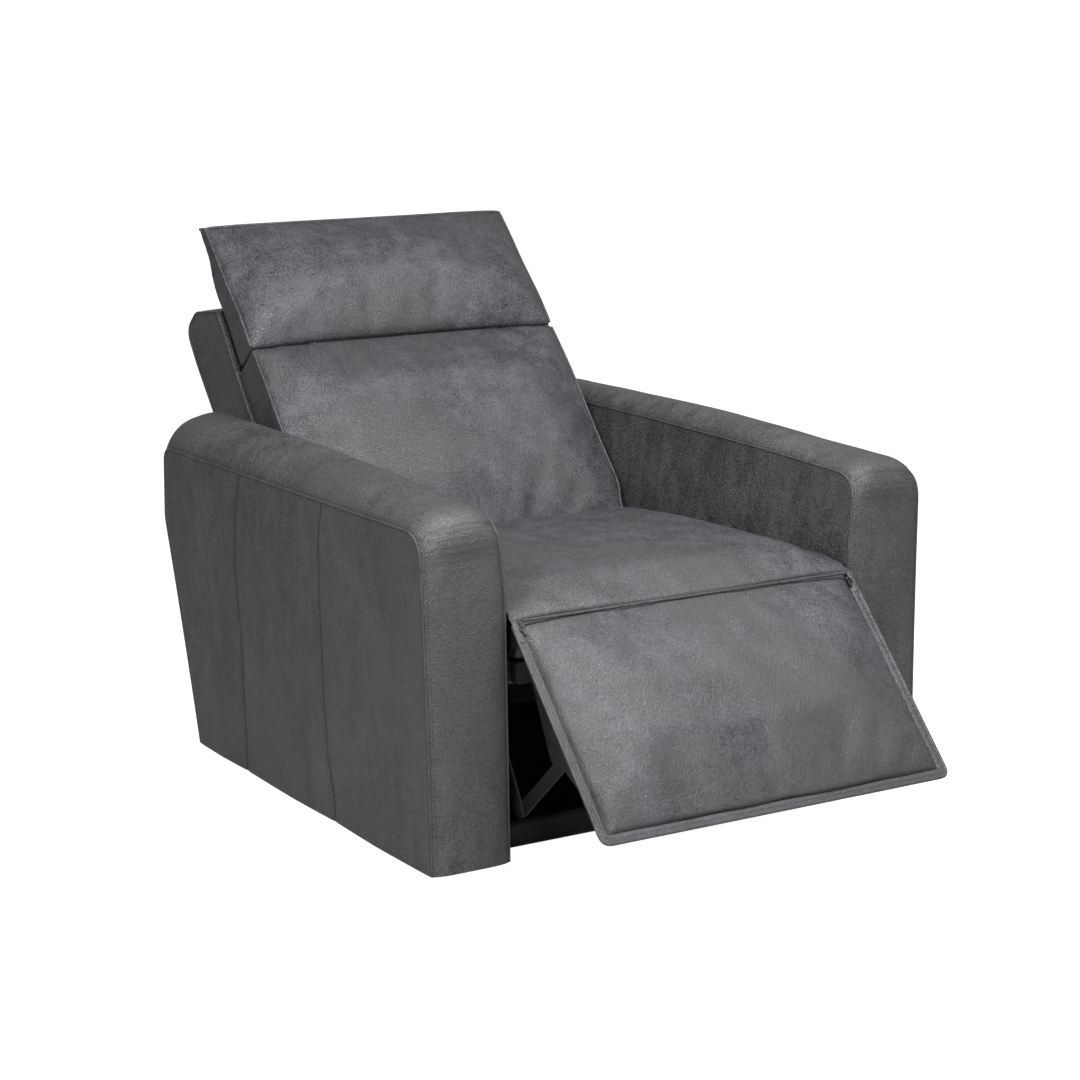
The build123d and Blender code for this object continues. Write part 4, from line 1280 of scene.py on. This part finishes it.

# ---- Frame, steel work, drives and controls ----
# Birch plywood arm boxes, black powder-coated linkage plates, zinc-plated tubes and
# forks, moulded drive housings, nylon runners and glides, elastic webbing and spring wire.
# The rails and the seat and back frames wear the black lining cloth in place of birch, as
# painted shade that makes the shaded inside of the chair read black.


def plywood_finish():
    """Birch plywood: long wavy grain on the faces, thin plies on the edges."""
    finish = Finish("birch_plywood")
    stretched = finish.place(scale=(9, 1.2, 9))
    rings = finish.bands(stretched, 3.0, Distortion=6.0, Detail=3.0)
    fibre = finish.clouds(finish.place(scale=(1, 0.05, 1)), 420.0, 3.0)
    stain = finish.clouds(finish.place(), 5.0, 3.0)
    finish.raised(fibre * 0.7 + rings * 0.3, 0.0003, 0.5)
    tone = finish.blend(rings * 0.6 + fibre * 0.4, (0.42, 0.27, 0.14), (0.62, 0.45, 0.27))
    return finish.painted(
        base_color=finish.blend(finish.between(stain, 0.4, 0.7, 0.0, 0.5), tone, (0.36, 0.22, 0.11)),
        roughness=0.62 + fibre * 0.2,
    )


def coated_steel(name, dark, light, metal, rough, peel):
    """Steel under a coat or plating: a slight orange peel, dust in it and rubbed patches."""
    finish = Finish(name)
    where = finish.place()
    skin = finish.clouds(where, peel, 2.0)
    rubbed = finish.clouds(where, 26.0, 5.0, 0.65)
    finish.raised(skin, 0.0002, 0.4)
    finish.feed(finish.shader.inputs["Metallic"], metal)
    worn = finish.between(rubbed, 0.42, 0.7)
    return finish.painted(
        base_color=finish.blend(worn, dark, light), roughness=rough + worn * 0.14 - skin * 0.05
    )


def moulded(name, dark, light, rough):
    """Moulded plastic with a spark-eroded texture."""
    finish = Finish(name)
    where = finish.place()
    spark = finish.clouds(where, 900.0, 3.0)
    flow = finish.clouds(where, 12.0, 3.0)
    finish.raised(spark, 0.00025, 0.6)
    return finish.painted(
        base_color=finish.blend(flow * 0.7 + spark * 0.3, dark, light), roughness=rough + spark * 0.12
    )


def woven_strap():
    """Black elastic webbing with a pale tracer line and a ribbed weave."""
    finish = Finish("elastic_webbing")
    where = finish.place()
    ribs = finish.bands(where, 260.0)
    yarn = finish.clouds(finish.place(scale=(1, 3, 3)), 500.0, 2.0)
    finish.raised(ribs * 0.8 + yarn * 0.2, 0.0005, 0.7)
    return finish.painted(
        base_color=finish.blend(ribs * 0.6 + yarn * 0.4, (0.010, 0.010, 0.011), (0.060, 0.058, 0.056)),
        roughness=0.85 - ribs * 0.15,
    )


black_coat = coated_steel("black_powder_coat", (0.005, 0.005, 0.006), (0.013, 0.013, 0.014), 0.0, 0.5, 520.0)
zinc = coated_steel("zinc_plate", (0.30, 0.30, 0.31), (0.46, 0.46, 0.47), 1.0, 0.32, 240.0)
spring_wire = coated_steel("oiled_spring_wire", (0.09, 0.09, 0.10), (0.17, 0.16, 0.15), 1.0, 0.38, 300.0)
housing = moulded("drive_housing", (0.012, 0.012, 0.013), (0.022, 0.022, 0.024), 0.46)
nylon = moulded("black_nylon", (0.014, 0.014, 0.015), (0.030, 0.030, 0.031), 0.38)
button_cap = moulded("button_cap", (0.050, 0.050, 0.054), (0.085, 0.085, 0.090), 0.34)
birch = plywood_finish()
webbing = woven_strap()

FINISHES = (
    (birch, ("arm_frame_", "headrest_board")),
    # Painted shade: the wooden rails and the seat and back frames take the black lining cloth, so the shaded
    # inside reads black
    (black_lining_and_painted_shade, ("front_rail", "rear_rail", "side_rail_", "seat_frame", "back_frame")),
    (black_lining_and_painted_shade, ("dust_cover", "footrest_board")),
    (black_coat, ("mechanism_plate_", "seat_plate_", "front_link_", "rear_link_")),
    (black_coat, ("lift_bar_", "pad_bracket_", "back_bracket_", "headrest_hinge")),
    (zinc, ("glide_track_", "torque_tube", "seat_cross_tube", "back_tube", "footrest_carriage")),
    (zinc, ("recline_carriage", "headrest_carriage")),
    (spring_wire, ("seat_springs",)),
    (housing, ("footrest_motor", "recline_motor", "headrest_motor", "power_inlet")),
    (nylon, ("track_runners", "glide_feet", "control_panel")),
    (button_cap, ("footrest_button_", "back_button", "headrest_button")),
    (webbing, ("back_webbing",)),
)
for finish, starts in FINISHES:
    for node_name, node in frame["nodes"].items():
        if node_name.startswith(starts):
            for material_slot in node.material_slots:
                material_slot.material = finish

# ---- Screws ----
# Eight zinc pan-head screws that hold the two seat plates to the seat frame, four to a plate,
# each with a cross standing a little proud of its head.
plate_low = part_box("seat_plate_right")[0]
bm = bmesh.new()
screw_height = 0.3255
screw_radius = 0.0055
head_thick = 0.0024
for way in (-1, 1):
    for depth in (0.10, 0.24, 0.38, 0.52):
        place = Vector((way * (plate_low.x - head_thick / 2), arm_front + depth, screw_height))
        turned = Matrix.Translation(place) @ Matrix.Rotation(math.pi / 2, 4, "Y")
        bmesh.ops.create_cone(
            bm,
            cap_ends=True,
            segments=20,
            radius1=screw_radius,
            radius2=screw_radius * 0.8,
            depth=head_thick,
            matrix=turned if way > 0 else turned @ Matrix.Rotation(math.pi, 4, "X"),
        )
        for turn_angle in (0, math.pi / 2):
            slot_place = Matrix.Translation(place + Vector((-way * 0.0011, 0, 0)))
            slot_turn = Matrix.Rotation(turn_angle, 4, "X") @ Matrix.Diagonal((0.0008, 0.0012, 0.006, 1))
            bmesh.ops.create_cube(bm, size=1, matrix=slot_place @ slot_turn)
bmesh.ops.recalc_face_normals(bm, faces=bm.faces)
screws = finished("frame_screws", bm, zinc)
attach(screws, "seat")

# ---- Rear valance ----
# A leather-covered panel across the rear rail, between the arms, with the power inlet in it.
valance_low, valance_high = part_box("rear_valance")
bm = bmesh.new()
bmesh.ops.create_cube(bm, size=1)
bmesh.ops.scale(bm, vec=valance_high - valance_low, verts=bm.verts)
bmesh.ops.translate(bm, vec=(valance_high + valance_low) / 2, verts=bm.verts)
bmesh.ops.bevel(
    bm, geom=bm.edges[:], offset=0.0045, segments=4, affect="EDGES", profile=0.5, material=-1
)
bmesh.ops.subdivide_edges(
    bm, edges=[e for e in bm.edges if abs((e.verts[0].co - e.verts[1].co).x) > 0.3], cuts=60
)
bmesh.ops.subdivide_edges(
    bm, edges=[e for e in bm.edges if abs((e.verts[0].co - e.verts[1].co).z) > 0.1], cuts=20
)
for vert in bm.verts:
    wave = noise.noise(Vector((vert.co.x * 9, vert.co.z * 7, 1.0)))
    if vert.co.y > valance_high.y - 0.0005:
        vert.co.y += 0.0012 * wave
valance = finished("valance_leather", bm, shell_leather)
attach(valance, "base")
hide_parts("rear_valance")
